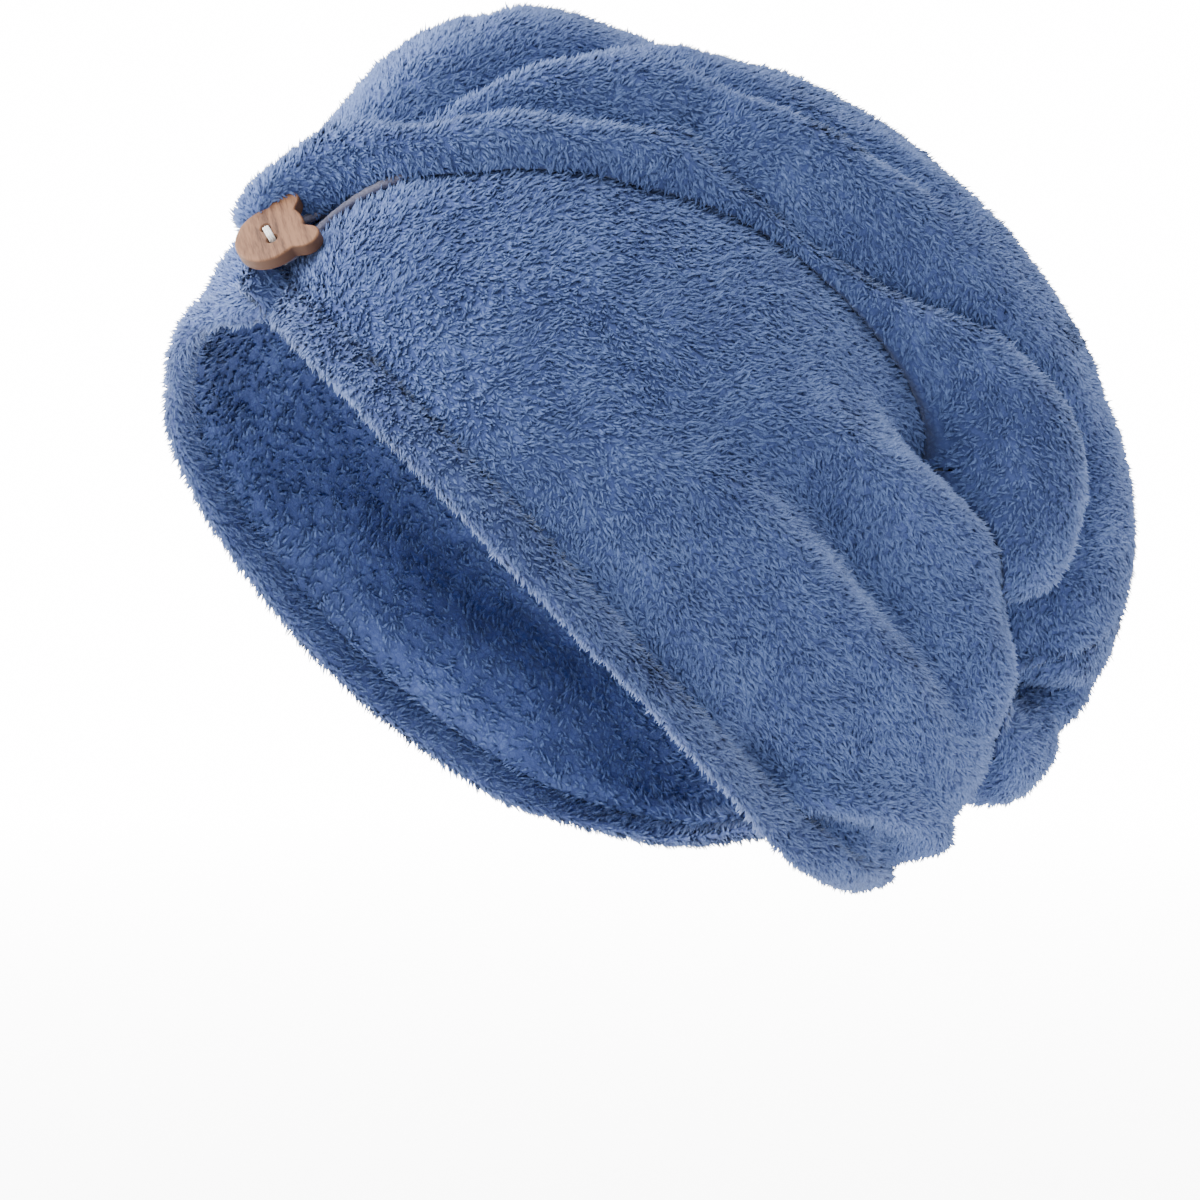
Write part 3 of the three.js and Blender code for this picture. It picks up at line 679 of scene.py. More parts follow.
def nap_group() -> bpy.types.NodeTree:
    """The tone of brushed pile: patches brushed different ways, clumps, single fibres, and painted shade in
    the gaps between the clumps.

    Returns:
        A node group that gives a tone from 0 to 1 and a height.
    """
    name = "brushed_nap"
    if name in bpy.data.node_groups:
        return bpy.data.node_groups[name]
    group = bpy.data.node_groups.new(name, "ShaderNodeTree")
    face = group.interface
    face.new_socket("Vector", in_out="INPUT", socket_type="NodeSocketVector")
    for label in ("Patches", "Clumps", "Fibres", "Gaps"):
        face.new_socket(label, in_out="INPUT", socket_type="NodeSocketFloat").default_value = 0.5
    face.new_socket("Tone", in_out="OUTPUT", socket_type="NodeSocketFloat")
    face.new_socket("Height", in_out="OUTPUT", socket_type="NodeSocketFloat")
    nodes = NodeTree(group)
    inside = nodes.add("NodeGroupInput")
    outside = nodes.add("NodeGroupOutput")
    vector = inside.outputs["Vector"]
    patches = nodes.noise(vector, 0.014, 1.5)
    clumps = nodes.noise(vector, 0.0032, 2.0)
    fibres = nodes.noise(vector, 0.0007, 2.0)
    bent = nodes.add("ShaderNodeVectorMath", operation="MULTIPLY_ADD")
    wander = nodes.add("ShaderNodeTexNoise", {"Scale": 500.0, "Detail": 1.0})
    nodes.join(vector, wander.inputs["Vector"])
    nodes.join(wander.outputs["Color"], bent.inputs[0])
    bent.inputs[1].default_value = (0.0016, 0.0016, 0.0016)
    nodes.join(vector, bent.inputs[2])
    # Painted shade in the gaps between the clumps: darker towards each cell's edge.
    cells = nodes.add("ShaderNodeTexVoronoi", {"Scale": 620.0}, feature="DISTANCE_TO_EDGE")
    nodes.join(bent.outputs[0], cells.inputs["Vector"])
    spans = {"From Min": 0.0, "From Max": 0.16, "To Min": -0.5, "To Max": 0.06}
    gap_shade_ramp = nodes.add("ShaderNodeMapRange", spans)
    nodes.join(cells.outputs["Distance"], gap_shade_ramp.inputs["Value"])
    gaps = nodes.math("MULTIPLY", gap_shade_ramp.outputs["Result"], inside.outputs["Gaps"])
    tone = nodes.math("ADD", 0.5, gaps)
    for value, label in ((patches, "Patches"), (clumps, "Clumps"), (fibres, "Fibres")):
        swing = nodes.math("SUBTRACT", value, 0.5)
        share = nodes.math("MULTIPLY", swing, inside.outputs[label])
        tone = nodes.math("ADD", tone, share)
    nodes.join(tone, outside.inputs["Tone"])
    nodes.join(nodes.math("ADD", clumps, fibres), outside.inputs["Height"])
    return group


@dataclass(frozen=True)
class FleeceFinish:
    """Plush microfibre pile, with painted shade at the tufts' roots and between them, and a painted
    highlight at their tips. Colours are linear.
    """

    name: str
    # root is painted shade at the tufts' feet and on the ground between them, tip a painted highlight on
    # their tips; body lies between.
    root: Colour
    body: Colour
    tip: Colour
    patches: float = 0.5
    clumps: float = 0.35
    fibres: float = 0.25
    # How deep the painted shade in the gaps between the clumps is.
    gaps: float = 0.5
    # How strongly the value along the tufts paints shade at their feet and a highlight at their tips.
    root_shade_tip_light: float = 0.6
    unevenness: float = 0.2
    sheen: float = 0.22
    softness: float = 0.8

    def material(self) -> bpy.types.Material:
        """Builds the material."""
        values = {"Roughness": 0.95, "Specular IOR Level": 0.15, "Sheen Weight": self.sheen}
        values |= {"Sheen Roughness": 0.5, "Sheen Tint": (0.75, 0.85, 1.0, 1.0)}
        made, nodes, shader = new_material(self.name, values)
        shares = {"Patches": self.patches, "Clumps": self.clumps, "Fibres": self.fibres, "Gaps": self.gaps}
        nap_shade_and_light = nodes.add("ShaderNodeGroup", shares, node_tree=nap_group())
        nodes.join(nodes.place(), nap_shade_and_light.inputs["Vector"])
        # Along each tuft the colour runs from painted shade at its feet to a painted highlight at its tip.
        spread = nodes.math("MULTIPLY", nodes.math("SUBTRACT", nodes.stored("tuft"), 0.5), self.unevenness)
        toned = nodes.math("ADD", nodes.math("SUBTRACT", nap_shade_and_light.outputs["Tone"], 0.5), spread)
        value = nodes.math("ADD", nodes.math("MULTIPLY", nodes.stored("nap_shade_and_light"), self.root_shade_tip_light), toned)
        colour = nodes.ramp(value, [(0.0, self.root), (0.45, self.body), (1.0, self.tip)])
        nodes.join(colour, shader.inputs["Base Color"])
        bump = nodes.bump(nap_shade_and_light.outputs["Height"], 0.35, 0.0004)
        own = nodes.add("ShaderNodeNewGeometry").outputs["Normal"]
        soft = nodes.add("ShaderNodeMix", data_type="VECTOR")
        soft.inputs["Factor"].default_value = self.softness
        nodes.join(own, soft.inputs[4])
        nodes.join(nodes.stored("cloth_way", "Vector"), soft.inputs[5])
        whole = nodes.add("ShaderNodeVectorMath", operation="NORMALIZE")
        nodes.join(soft.outputs[1], whole.inputs[0])
        nodes.join(whole.outputs[0], bump.inputs["Normal"])
        nodes.join(bump.outputs["Normal"], shader.inputs["Normal"])
        return made


@dataclass(frozen=True)
class WoodFinish:
    """Laser-cut hardwood: fine grain along one way of the board, and scorched cut edges."""

    name: str = "button_wood"
    light: Colour = (0.225, 0.108, 0.056)
    dark: Colour = (0.07, 0.029, 0.015)
    scorch: Colour = (0.10, 0.05, 0.03)
    stretch: float = 0.12

    def material(self, grain: Matrix) -> bpy.types.Material:
        """Builds the material.

        Args:
            grain: The turn from the row frame to the board's own axes, with the grain along its X.

        Returns:
            The material.
        """
        made, nodes, shader = new_material(self.name, {"Roughness": 0.6, "Specular IOR Level": 0.25})
        way = nodes.place()
        for name, value in (("Rotation", grain.to_euler()), ("Scale", (self.stretch, 1.0, 1.0))):
            turn = nodes.add("ShaderNodeMapping", {name: value}, vector_type="POINT")
            nodes.join(way, turn.inputs["Vector"])
            way = turn.outputs["Vector"]
        pores = nodes.noise(way, 0.00022, 1.0)
        tone = nodes.math("MULTIPLY", nodes.noise(way, 0.0009, 4.0), 0.5)
        for layer, share in ((pores, 0.2), (nodes.noise(way, 0.004), 0.3)):
            tone = nodes.math("ADD", tone, nodes.math("MULTIPLY", layer, share))
        wood = nodes.ramp(tone, [(0.36, self.dark), (0.56, self.light)])
        mixed = nodes.add("ShaderNodeMix", data_type="RGBA")
        nodes.join(nodes.stored("scorch"), mixed.inputs["Factor"])
        nodes.join(wood, mixed.inputs["A"])
        mixed.inputs["B"].default_value = (*self.scorch, 1.0)
        nodes.join(mixed.outputs["Result"], shader.inputs["Base Color"])
        nodes.join(nodes.bump(pores, 0.25, 0.0001).outputs["Normal"], shader.inputs["Normal"])
        return made


@dataclass(frozen=True)
class YarnFinish:
    """Spun yarn or covered elastic: one colour with a little unevenness and fibre relief."""

    name: str
    light: Colour
    dark: Colour
    size: float

    def material(self) -> bpy.types.Material:
        """Builds the material."""
        made, nodes, shader = new_material(self.name, {"Roughness": 0.85, "Sheen Weight": 0.2})
        fibres = nodes.noise(nodes.place(), self.size)
        colour = nodes.ramp(fibres, [(0.3, self.dark), (0.7, self.light)])
        nodes.join(colour, shader.inputs["Base Color"])
        nodes.join(nodes.bump(fibres, 0.4, self.size / 3).outputs["Normal"], shader.inputs["Normal"])
        return made


# Pile


@dataclass(frozen=True)
class Pile:
    """Tufts of pile over a surface. Lengths in millimetres, angles in degrees.

    A tuft stands up from the cloth by its rise, which scatters from tuft to tuft and drifts over the
    face, and lies along the comb, turned by its scatter and the swirl. together is how many tufts draw
    to one tip, gather how far they go and draw from how far off. The nap value along a tuft for its two
    feet, its ridge and its tip picks painted shade at its feet and a painted highlight at its tip.
    """

    length: float = 2.0
    width: float = 0.95
    rise: float = 40.0
    rise_scatter: float = 9.0
    rise_drift: float = 14.0
    drift_size: float = 4.0
    scatter: float = 24.0
    swirl: float = 60.0
    swirl_size: float = 12.0
    size_scatter: float = 0.22
    sizes: tuple[float, float] = (0.5, 1.7)
    bend: float = 0.12
    ridge: float = 0.3
    sunk: float = 0.5
    gather: float = 0.55
    together: float = 5.0
    draw: float = 2.2
    nap_shade_and_light: tuple[float, ...] = (0.15, 0.15, 0.45, 1.0)

    def tufts(self, surface: Surface, count: int, seed: int) -> tuple[Array, list, Array, Array, Array]:
        """Grows the tufts.

        Args:
            surface: The face that they stand on.
            count: How many tufts.
            seed: For their chance places and turns.

        Returns:
            The points, the faces, and for each point its share along the tuft, the tuft's chance value
            and the way that the cloth under it faces.
        """
        rng = np.random.default_rng(seed)
        grid, normals, comb = surface.points, surface.normals, surface.comb
        cover = np.broadcast_to(surface.cover, grid.shape[:2])
        cross = np.cross(grid[1:, 1:] - grid[:-1, :-1], grid[1:, :-1] - grid[:-1, 1:])
        weight = np.linalg.norm(cross, axis=-1) * cover[:-1, :-1]
        steps = np.cumsum(weight.ravel())
        stops = (np.arange(count) + rng.random(count)) / count * steps[-1]
        i, j = np.unravel_index(np.searchsorted(steps, stops), weight.shape)
        a, b = rng.random((2, count, 1))

        def mixed(values: Array) -> Array:
            """Values of the grid at the tufts' places."""
            near = values[i, j] * (1 - b) + values[i, j + 1] * b
            return near * (1 - a) + (values[i + 1, j] * (1 - b) + values[i + 1, j + 1] * b) * a

        foot, normal, way = mixed(grid), unit(mixed(normals)), mixed(comb)
        way = unit(way - normal * (way * normal).sum(-1, keepdims=True))
        aside = np.cross(normal, way)
        drift = value_noise(foot, self.swirl_size, 3) + 0.5 * value_noise(foot, self.swirl_size / 3, 4)
        angle = np.radians(self.swirl * drift + self.scatter * rng.standard_normal(count))[:, None]
        way = way * np.cos(angle) + aside * np.sin(angle)
        rise = self.rise + self.rise_scatter * rng.standard_normal(count)
        stand = np.radians(rise + self.rise_drift * value_noise(foot, self.drift_size, 5))[:, None]
        axis = way * np.cos(stand) + normal * np.sin(stand)
        size = np.clip(1 + self.size_scatter * rng.standard_normal(count), *self.sizes)[:, None]
        long, wide = self.length * size, self.width * np.sqrt(size)
        flat = unit(np.cross(axis, normal))
        low = foot - normal * self.sunk
        tip = foot + axis * long + flat * long * self.bend * rng.standard_normal((count, 1))
        tip = self.gathered(tip, normal, rng)
        half = flat * wide * 0.5
        points = np.stack([low - half, low + half, foot + normal * wide * self.ridge, tip], axis=1)
        start = 4 * np.arange(count)[:, None]
        corners = np.array([(0, 2, 1), (0, 1, 3), (1, 2, 3), (2, 0, 3)])
        faces = (start[:, :, None] + corners[None]).reshape(-1, 3)
        # Values along each tuft that paint shade at its feet and a highlight at its tip.
        along = np.tile(self.nap_shade_and_light, count)
        chance = np.repeat(rng.random(count), 4)
        lies = np.repeat(normal, 4, axis=0)
        return points.reshape(-1, 3), [tuple(f) for f in faces.tolist()], along, chance, lies

    def gathered(self, tips: Array, normals: Array, rng: np.random.Generator) -> Array:
        """Draws neighbouring tips together into clumps, as washed pile dries.

        Args:
            tips: The tufts' tips.
            normals: The way that the cloth faces under each.
            rng: For the chance choice of the clumps.

        Returns:
            The drawn tips.
        """
        chosen = rng.permutation(len(tips))[: max(1, round(len(tips) / self.together))]
        tree = kdtree.KDTree(len(chosen))
        for place, k in enumerate(chosen.tolist()):
            tree.insert(tips[k], place)
        tree.balance()
        nearest = chosen[np.array([tree.find(tip)[1] for tip in tips.tolist()])]
        shift = tips[nearest] - tips
        share = self.gather * np.exp(-((np.linalg.norm(shift, axis=1) / self.draw) ** 2))
        return tips + share[:, None] * (shift - 0.5 * normals * (shift * normals).sum(-1, keepdims=True))

    def piece(
        self, name: str, surface: Surface, count: int, seed: int, material: bpy.types.Material, slot: str
    ) -> bpy.types.Object:
        """Makes the tufts into one piece, with a bake map that gives each tuft its own cell.

        Args:
            name: The piece's name.
            surface: The face that they stand on.
            count: How many tufts.
            seed: For their chance places and turns.
            material: The finish.
            slot: Not used.

        Returns:
            The piece.
        """
        points, faces, along, chance, lies = self.tufts(surface, count, seed)
        made = new_piece(name, points, faces, material)
        # Painted shade at the tufts' feet and a painted highlight at their tips.
        store_values(made.data, "nap_shade_and_light", along)
        store_values(made.data, "tuft", chance)
        store_ways(made.data, "cloth_way", lies)
        bake_cells(made.data, count)
        return made


def bake_cells(mesh: bpy.types.Mesh, count: int) -> None:
    """Gives each tuft its own cell of a square map, a quarter of its width for each face."""
    side = math.ceil(math.sqrt(count))
    layer = mesh.uv_layers.new(name="OFBake")
    face = np.arange(4 * count)[:, None]
    tuft, strip = face // 4, face % 4
    across, up = np.array([0.06, 0.94, 0.5]), np.array([0.05, 0.05, 0.95])
    u = (tuft % side + (strip + across) / 4) / side
    v = (tuft // side + up) / side
    layer.data.foreach_set("uv", np.stack([u, v], -1).astype(np.float32).ravel())


# Side panels and hems


def combed(points: Array) -> Array:
    """The way that the pile lies on a grid: along its rows, from the forehead to the nape."""
    return unit(np.gradient(points, axis=0))


@dataclass
class SidePanel:
    """One side of the turban: a plush cloth wall from the hem's stitch line up to the crown seam.

    groove is the depth of the dent along the stitches, and ends are the degrees left free at the
    forehead and nape. The full pile runs on under the tail for under_tail degrees, and beyond them
    thin is the share of it that is left. past_seam is a psi that lies past the seam.
    """

    side: Side
    rows: int = 181
    columns: int = 105
    step: int = 4
    tufts: int = 36000
    lining: int = 16000
    seed: int = 1
    rumple: float = 0.55
    rumple_size: float = 17.0
    rumple_stretch: float = 0.7
    dimple: float = 0.3
    dimple_size: float = 7.0
    tucked: float = 1.4
    groove: float = 0.9
    groove_reach: float = 2.4
    ends: tuple[float, float] = (0.5, 0.15)
    under_tail: float = 7.0
    past_seam: float = 120.0
    thin: float = 0.03
    lining_pile: Pile = Pile(length=2.4, width=1.1)

    @property
    def name(self) -> str:
        """The node's name."""
        return f"{self.side.name.lower()}_panel"

    def height(self, sigma: Array, psi: Array) -> Array:
        """The outer face's height over the shell, with its small rumples."""
        base = SHELL.fold_height(PANEL_FOLDS[self.side], sigma, psi)
        place = SHELL.point(sigma, psi, 0.0)
        stretched = place * np.array([1.0, self.rumple_stretch, 1.0])
        rumples = value_noise(stretched, self.rumple_size, self.seed + 10)
        dimples = value_noise(place, self.dimple_size, self.seed + 20)
        return base + self.rumple * rumples + self.dimple * dimples

    def grid(self) -> tuple[Array, Array]:
        """The sigma and psi of each grid point."""
        line = SHELL.hem_width - self.tucked
        first = SHELL.end_sigma(self.side, 0, line) + self.ends[0]
        last = SHELL.end_sigma(self.side, 180, line) - self.ends[1]
        sigma = np.linspace(first, last, self.rows)
        low = SHELL.level_psi(self.side, sigma, line)
        seam = 90 + np.degrees(np.arcsin(MEET / (SHELL.half_width * np.sin(np.radians(sigma)))))
        across = np.linspace(0, 1, self.columns)[None, :]
        psi = low[:, None] + (seam - low)[:, None] * across
        return np.broadcast_to(sigma[:, None], psi.shape), psi

    def build(self, finish: bpy.types.Material) -> None:
        """Builds the cloth wall and its pile."""
        sigma, psi = self.grid()
        height = self.height(sigma, psi)
        radius = (SHELL.half_width + SHELL.crown_rise) / 2 * np.sin(np.radians(sigma))
        stitched = (np.radians(psi - psi[:, :1]) * radius - self.tucked) / self.groove_reach
        height = height - self.groove * np.exp(-(stitched**2))
        outer = SHELL.point(sigma, psi, height - PROUD)
        every = slice(None, None, self.step)
        under = lowest(height, self.step - 1) - SHELL.cloth
        inner = SHELL.point(sigma[every, every], psi[every, every], under[every, every])
        for points in (outer, inner):
            points[..., 0] *= self.side.value
        points, faces = shell_solid(outer, inner, self.step)
        wall = ground_piece(self.name + "_cloth", points, faces, finish)
        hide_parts(self.name)
        skirt = np.concatenate([outer[every, :1], inner], axis=1)
        lining = Surface(skirt, -combed(skirt), inside=True)
        self.lining_pile.piece(self.name + "_lining", lining, self.lining, self.seed + 7, finish, "fleece")
        table = np.array(TAIL_EDGES, dtype=float)
        rim = table[:, 1] if self.side is Side.NEAR else 180 - table[:, 2]
        tail = np.interp(sigma, table[:, 0], rim, left=self.past_seam, right=self.past_seam)
        cover = np.where(psi < tail + self.under_tail, 1.0, self.thin)
        surface = Surface(outer, combed(outer), cover)
        Pile().piece(self.name + "_pile", surface, self.tufts, self.seed, finish, "fleece")


@dataclass
class Hem:
    """One side's turned hem, round the opening from the forehead to the nape.

    lap is how far the near hem runs on over the far one at the forehead, in millimetres, lap_end the
    degrees at which it starts to come down again, and lap_gaps how many gaps it stands clear.
    """

    side: Side
    steps: int = 360
    sides: int = 16
    thick: float = 5.0
    lap: float = 2.0
    lap_end: float = 2.0
    lap_gaps: float = 3.5
    squareness: float = 0.75
    swell: float = 0.1
    swell_size: float = 11.0
    comb: tuple[float, float] = (0.8, 0.3)
    tufts: int = 9000
    seed: int = 5

    @property
    def name(self) -> str:
        """The node's name."""
        return f"{self.side.name.lower()}_hem"

    def rings(self) -> Array:
        """The rings of points round the hem's section."""
        near = self.side is Side.NEAR
        degree = math.degrees(1 / SHELL.half_width)
        start = -self.lap * degree if near else GAP * degree
        turn = np.linspace(start, 180 + MEET * degree, self.steps + 1)
        middle = (SHELL.hem_width - GAP) / 2
        over = np.zeros(len(turn))
        if near:
            down = (turn - self.lap_end) / (2 * self.lap * degree)
            over = (self.thick + self.lap_gaps * GAP) * smooth(1 - down)
        lift = over - SHELL.cloth / 2 - PROUD / 2
        centre = SHELL.rim_point(self.side, turn, middle, lift)
        out = unit(SHELL.rim_point(self.side, turn, middle, lift + 1) - centre)
        up = unit(SHELL.rim_point(self.side, turn, middle + 1, lift) - centre)
        angle = (np.arange(self.sides) + 0.5) / self.sides * 2 * math.pi
        tall, wide = (np.sign(v) * np.abs(v) ** self.squareness for v in (np.sin(angle), np.cos(angle)))
        swell = 1 + self.swell * value_noise(centre, self.swell_size, self.seed)[:, None, None]
        high = up[:, None] * (middle * tall)[None, :, None]
        deep = out[:, None] * ((self.thick - PROUD) / 2 * wide)[None, :, None]
        rings = centre[:, None] + swell * (high + deep)
        rings[..., 0] *= self.side.value
        return rings

    def build(self, finish: bpy.types.Material) -> None:
        """Builds the hem and its pile."""
        rings = self.rings()
        points, faces = lofted(rings)
        band = ground_piece(self.name + "_band", points, faces, finish)
        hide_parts(self.name)
        wrapped = np.concatenate([rings, rings[:, :1]], axis=1)
        across = -unit(np.gradient(wrapped, axis=1))
        surface = Surface(wrapped, unit(self.comb[0] * combed(wrapped) + self.comb[1] * across))
        Pile().piece(self.name + "_pile", surface, self.tufts, self.seed, finish, "hem_fleece")


# Tail


@dataclass
class Tail:
    """The twisted tail: rolls of plush cloth over the crown, brought forward to the button.

    The rolls' heights are shares of rise and their half widths shares of reach. clear is how far the
    inner face stands over the panels, and least the smallest height between the two faces. front and
    back are the share of its height that an end starts with, and n where the tail gets the rest over
    an nth of its length.
    """

    panels: dict[Side, SidePanel]
    rise: float = 13.0
    reach: float = 18.0
    base: float = 0.6
    blend: float = 0.05
    fall: float = 3.0
    rows: int = 181
    columns: int = 133
    step: int = 4
    samples: int = 48
    clear: float = 0.15
    least: float = 0.2
    front: tuple[float, float] = (0.45, 24)
    back: tuple[float, float] = (0.1, 10)
    edge_power: float = 12
    edge_columns: float = 0.6
    probes: int = 240
    streak: float = 0.32
    rumples: tuple = ((0.75, 8.0, 31), (0.35, 6.0, 32))
    overhang: float = 0.6
    overhang_slope: float = 1.6
    fan: float = 1.3
    fan_start: float = 0.8
    tufts: int = 45000

    def roll_places(self) -> list[Array]:
        """Places along each roll: its point on the shell, shoulder, back and half width."""
        rolls = []
        for rows in TAIL_ROLLS.values():
            table = np.array(rows, dtype=float)
            at = rows_spline(table, np.linspace(0, len(rows) - 1, self.samples + 1))
            point = SHELL.point(at[:, 0], at[:, 1], 0.0)
            sizes = np.stack([at[:, 2] * self.rise, at[:, 4] * self.rise, at[:, 3] * self.reach], -1)
            rolls.append(np.concatenate([point, sizes], axis=1))
        return rolls

    def roll_top(self, roll: Array, points: Array) -> Array:
        """The top of one roll over points of the shell: round across its reach, steep beyond it."""
        top = np.full(len(points), -np.inf)
        for a, b in zip(roll[:-1], roll[1:]):
            leg = b[:3] - a[:3]
            t = np.clip((points - a[:3]) @ leg / (leg @ leg), 0, 1)
            near = a[:3] + t[:, None] * leg
            shoulder, back, reach = (a[k] + t * (b[k] - a[k]) for k in (3, 4, 5))
            share = np.linalg.norm(points - near, axis=1) / reach
            inside = back * np.sqrt(np.maximum(0, 1 - share**2))
            top = np.maximum(top, shoulder + np.where(share < 1, inside, self.fall * back * (1 - share)))
        return top

    def top(self, sigma: Array, psi: Array) -> Array:
        """The height of the tail's rolls over the shell; neighbours run into each other."""
        points = SHELL.point(sigma, psi, 0.0).reshape(-1, 3)
        blend = self.blend * self.rise
        total = np.zeros(len(points))
        for roll in self.roll_places():
            total += np.exp(np.clip(self.roll_top(roll, points) / blend, *EXP_RANGE))
        top = np.maximum(self.base * self.rise, blend * np.log(np.maximum(total, 1e-20)))
        return top.reshape(sigma.shape)

    def floor(self, sigma: Array, psi: Array) -> Array:
        """The height of the side panels under the tail, with the clearance."""
        folded = np.minimum(psi, 180 - psi)
        near, far = (self.panels[side].height(sigma, folded) for side in Side)
        return np.where(psi < 90, near, far) + self.clear

    def grid(self) -> tuple[Array, Array, Array, Array]:
        """The tail's grid.

        Returns:
            The sigma and psi of each point, the outer height and the height of what lies under it.
        """
        table = np.array(TAIL_EDGES, dtype=float)
        first, last = table[0, 0], table[-1, 0]
        along = np.linspace(0, 1, self.rows)
        sigma = first + (last - first) * along
        row = np.interp(sigma, table[:, 0], np.arange(len(table)))
        edges = rows_spline(table, row)
        front, back = (
            start + (1 - start) * quarter_round(way * runs)
            for way, (start, runs) in ((along, self.front), (1 - along, self.back))
        )

        def heights(spread: Array) -> tuple[Array, Array, Array]:
            """The psi, outer height and floor at shares of the way from edge to edge."""
            psi = edges[:, 1:2] + (edges[:, 2:3] - edges[:, 1:2]) * spread
            wide = np.broadcast_to(sigma[:, None], psi.shape)
            edge = np.sqrt(np.maximum(0, 1 - np.abs(2 * spread - 1) ** self.edge_power))
            outer = (self.top(wide, psi) + SHELL.cloth) * (front * back)[:, None] * edge - SHELL.cloth
            return psi, outer, self.floor(wide, psi)

        fine = np.broadcast_to(np.linspace(0, 1, self.probes)[None, :], (self.rows, self.probes))
        _, outer, under = heights(fine)
        proud = outer > under + self.least
        low = fine[0, proud.argmax(1)]
        high = fine[0, self.probes - 1 - proud[:, ::-1].argmax(1)]
        across = np.linspace(0, 1, self.columns)
        across = across - self.edge_columns * np.sin(2 * math.pi * across) / (2 * math.pi)
        spread = low[:, None] + (high - low)[:, None] * across
        psi, outer, under = heights(spread)
        return np.broadcast_to(sigma[:, None], psi.shape), psi, np.maximum(outer, under + self.least), under

    def build(self, finish: bpy.types.Material) -> None:
        """Builds the tail's cloth and its pile."""
        sigma, psi, height, under = self.grid()
        proud = smooth((height - under - 0.5) / 3)
        height = height + proud * (SHELL.fold_height(TAIL_CREASES, sigma, psi) - PROUD)
        height = np.maximum(height, under + self.least)
        outer = SHELL.point(sigma, psi, height)
        streaks = outer * np.array([1.0, self.streak, 1.0])
        rumples = sum(
            tall * value_noise(places, size, seed)
            for places, (tall, size, seed) in zip((streaks, outer), self.rumples)
        )
        outer = outer + SHELL.normal(outer) * (proud * rumples)[..., None]
        normals = Surface(outer, combed(outer)).normals
        steep = 1 - np.clip((normals * SHELL.normal(outer)).sum(-1), 0, 1)
        outer = outer + normals * (self.overhang * smooth(steep * self.overhang_slope) * proud)[..., None]
        every = slice(None, None, self.step)
        inner = SHELL.point(sigma[every, every], psi[every, every], under[every, every])
        points, faces = shell_solid(outer, inner, self.step)
        cloth = ground_piece("tail_cloth", points, faces, finish)
        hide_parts("tail")
        comb = combed(outer)
        across = unit(np.gradient(outer, axis=1))
        spread = np.linspace(-1, 1, self.columns)
        edge = smooth((np.abs(spread) - self.fan_start) / 0.2)
        comb = unit(comb + across * (self.fan * np.sign(spread) * edge)[None, :, None])
        half = self.rows // 2
        for name, rows, seed in (("front", slice(0, half + 1), 41), ("back", slice(half, None), 42)):
            part = Surface(outer[rows], comb[rows])
            Pile().piece(f"tail_{name}_pile", part, self.tufts, seed, finish, "fleece")


# Button, thread and loop

OFF_PATH = (0.3, 0.2, 0.93)  # a way that no path here starts along
FINER = 12  # how many points a path is worked out with for each one that is kept


def tube(path: Array, radius: Array, sides: int) -> tuple[Array, list[tuple[int, ...]]]:
    """A closed tube along a path.

    Args:
        path: The points that it follows.
        radius: Its radius at each point and place round it.
        sides: How many places round it.

    Returns:
        The points and the faces.
    """
    tangent = unit(np.gradient(path, axis=0))
    side = np.cross(tangent[0], OFF_PATH)
    rings = []
    angle = circle(sides)
    for k in range(len(path)):
        side = unit(side - tangent[k] * (side @ tangent[k]))
        other = np.cross(tangent[k], side)
        turn = np.cos(angle)[:, None] * side + np.sin(angle)[:, None] * other
        rings.append(path[k] + turn * radius[k][:, None])
    return lofted(np.array(rings))


def smooth_path(points: Array, count: int) -> Array:
    """A path of evenly spaced points, smooth through the given ones."""
    fine = rows_spline(points, np.linspace(0, len(points) - 1, FINER * count))
    length = np.concatenate([[0], np.cumsum(np.linalg.norm(np.diff(fine, axis=0), axis=1))])
    even = np.linspace(0, length[-1], count)
    return np.stack([np.interp(even, length, fine[:, k]) for k in range(3)], -1)


def ring(angle: Array, radius: Array | float, level: float, middle: float = 0.0) -> Array:
    """A ring of points at a level, with its middle moved along X."""
    places = [middle + radius * np.cos(angle), radius * np.sin(angle), np.full(len(angle), level)]
    return np.stack(places, -1)


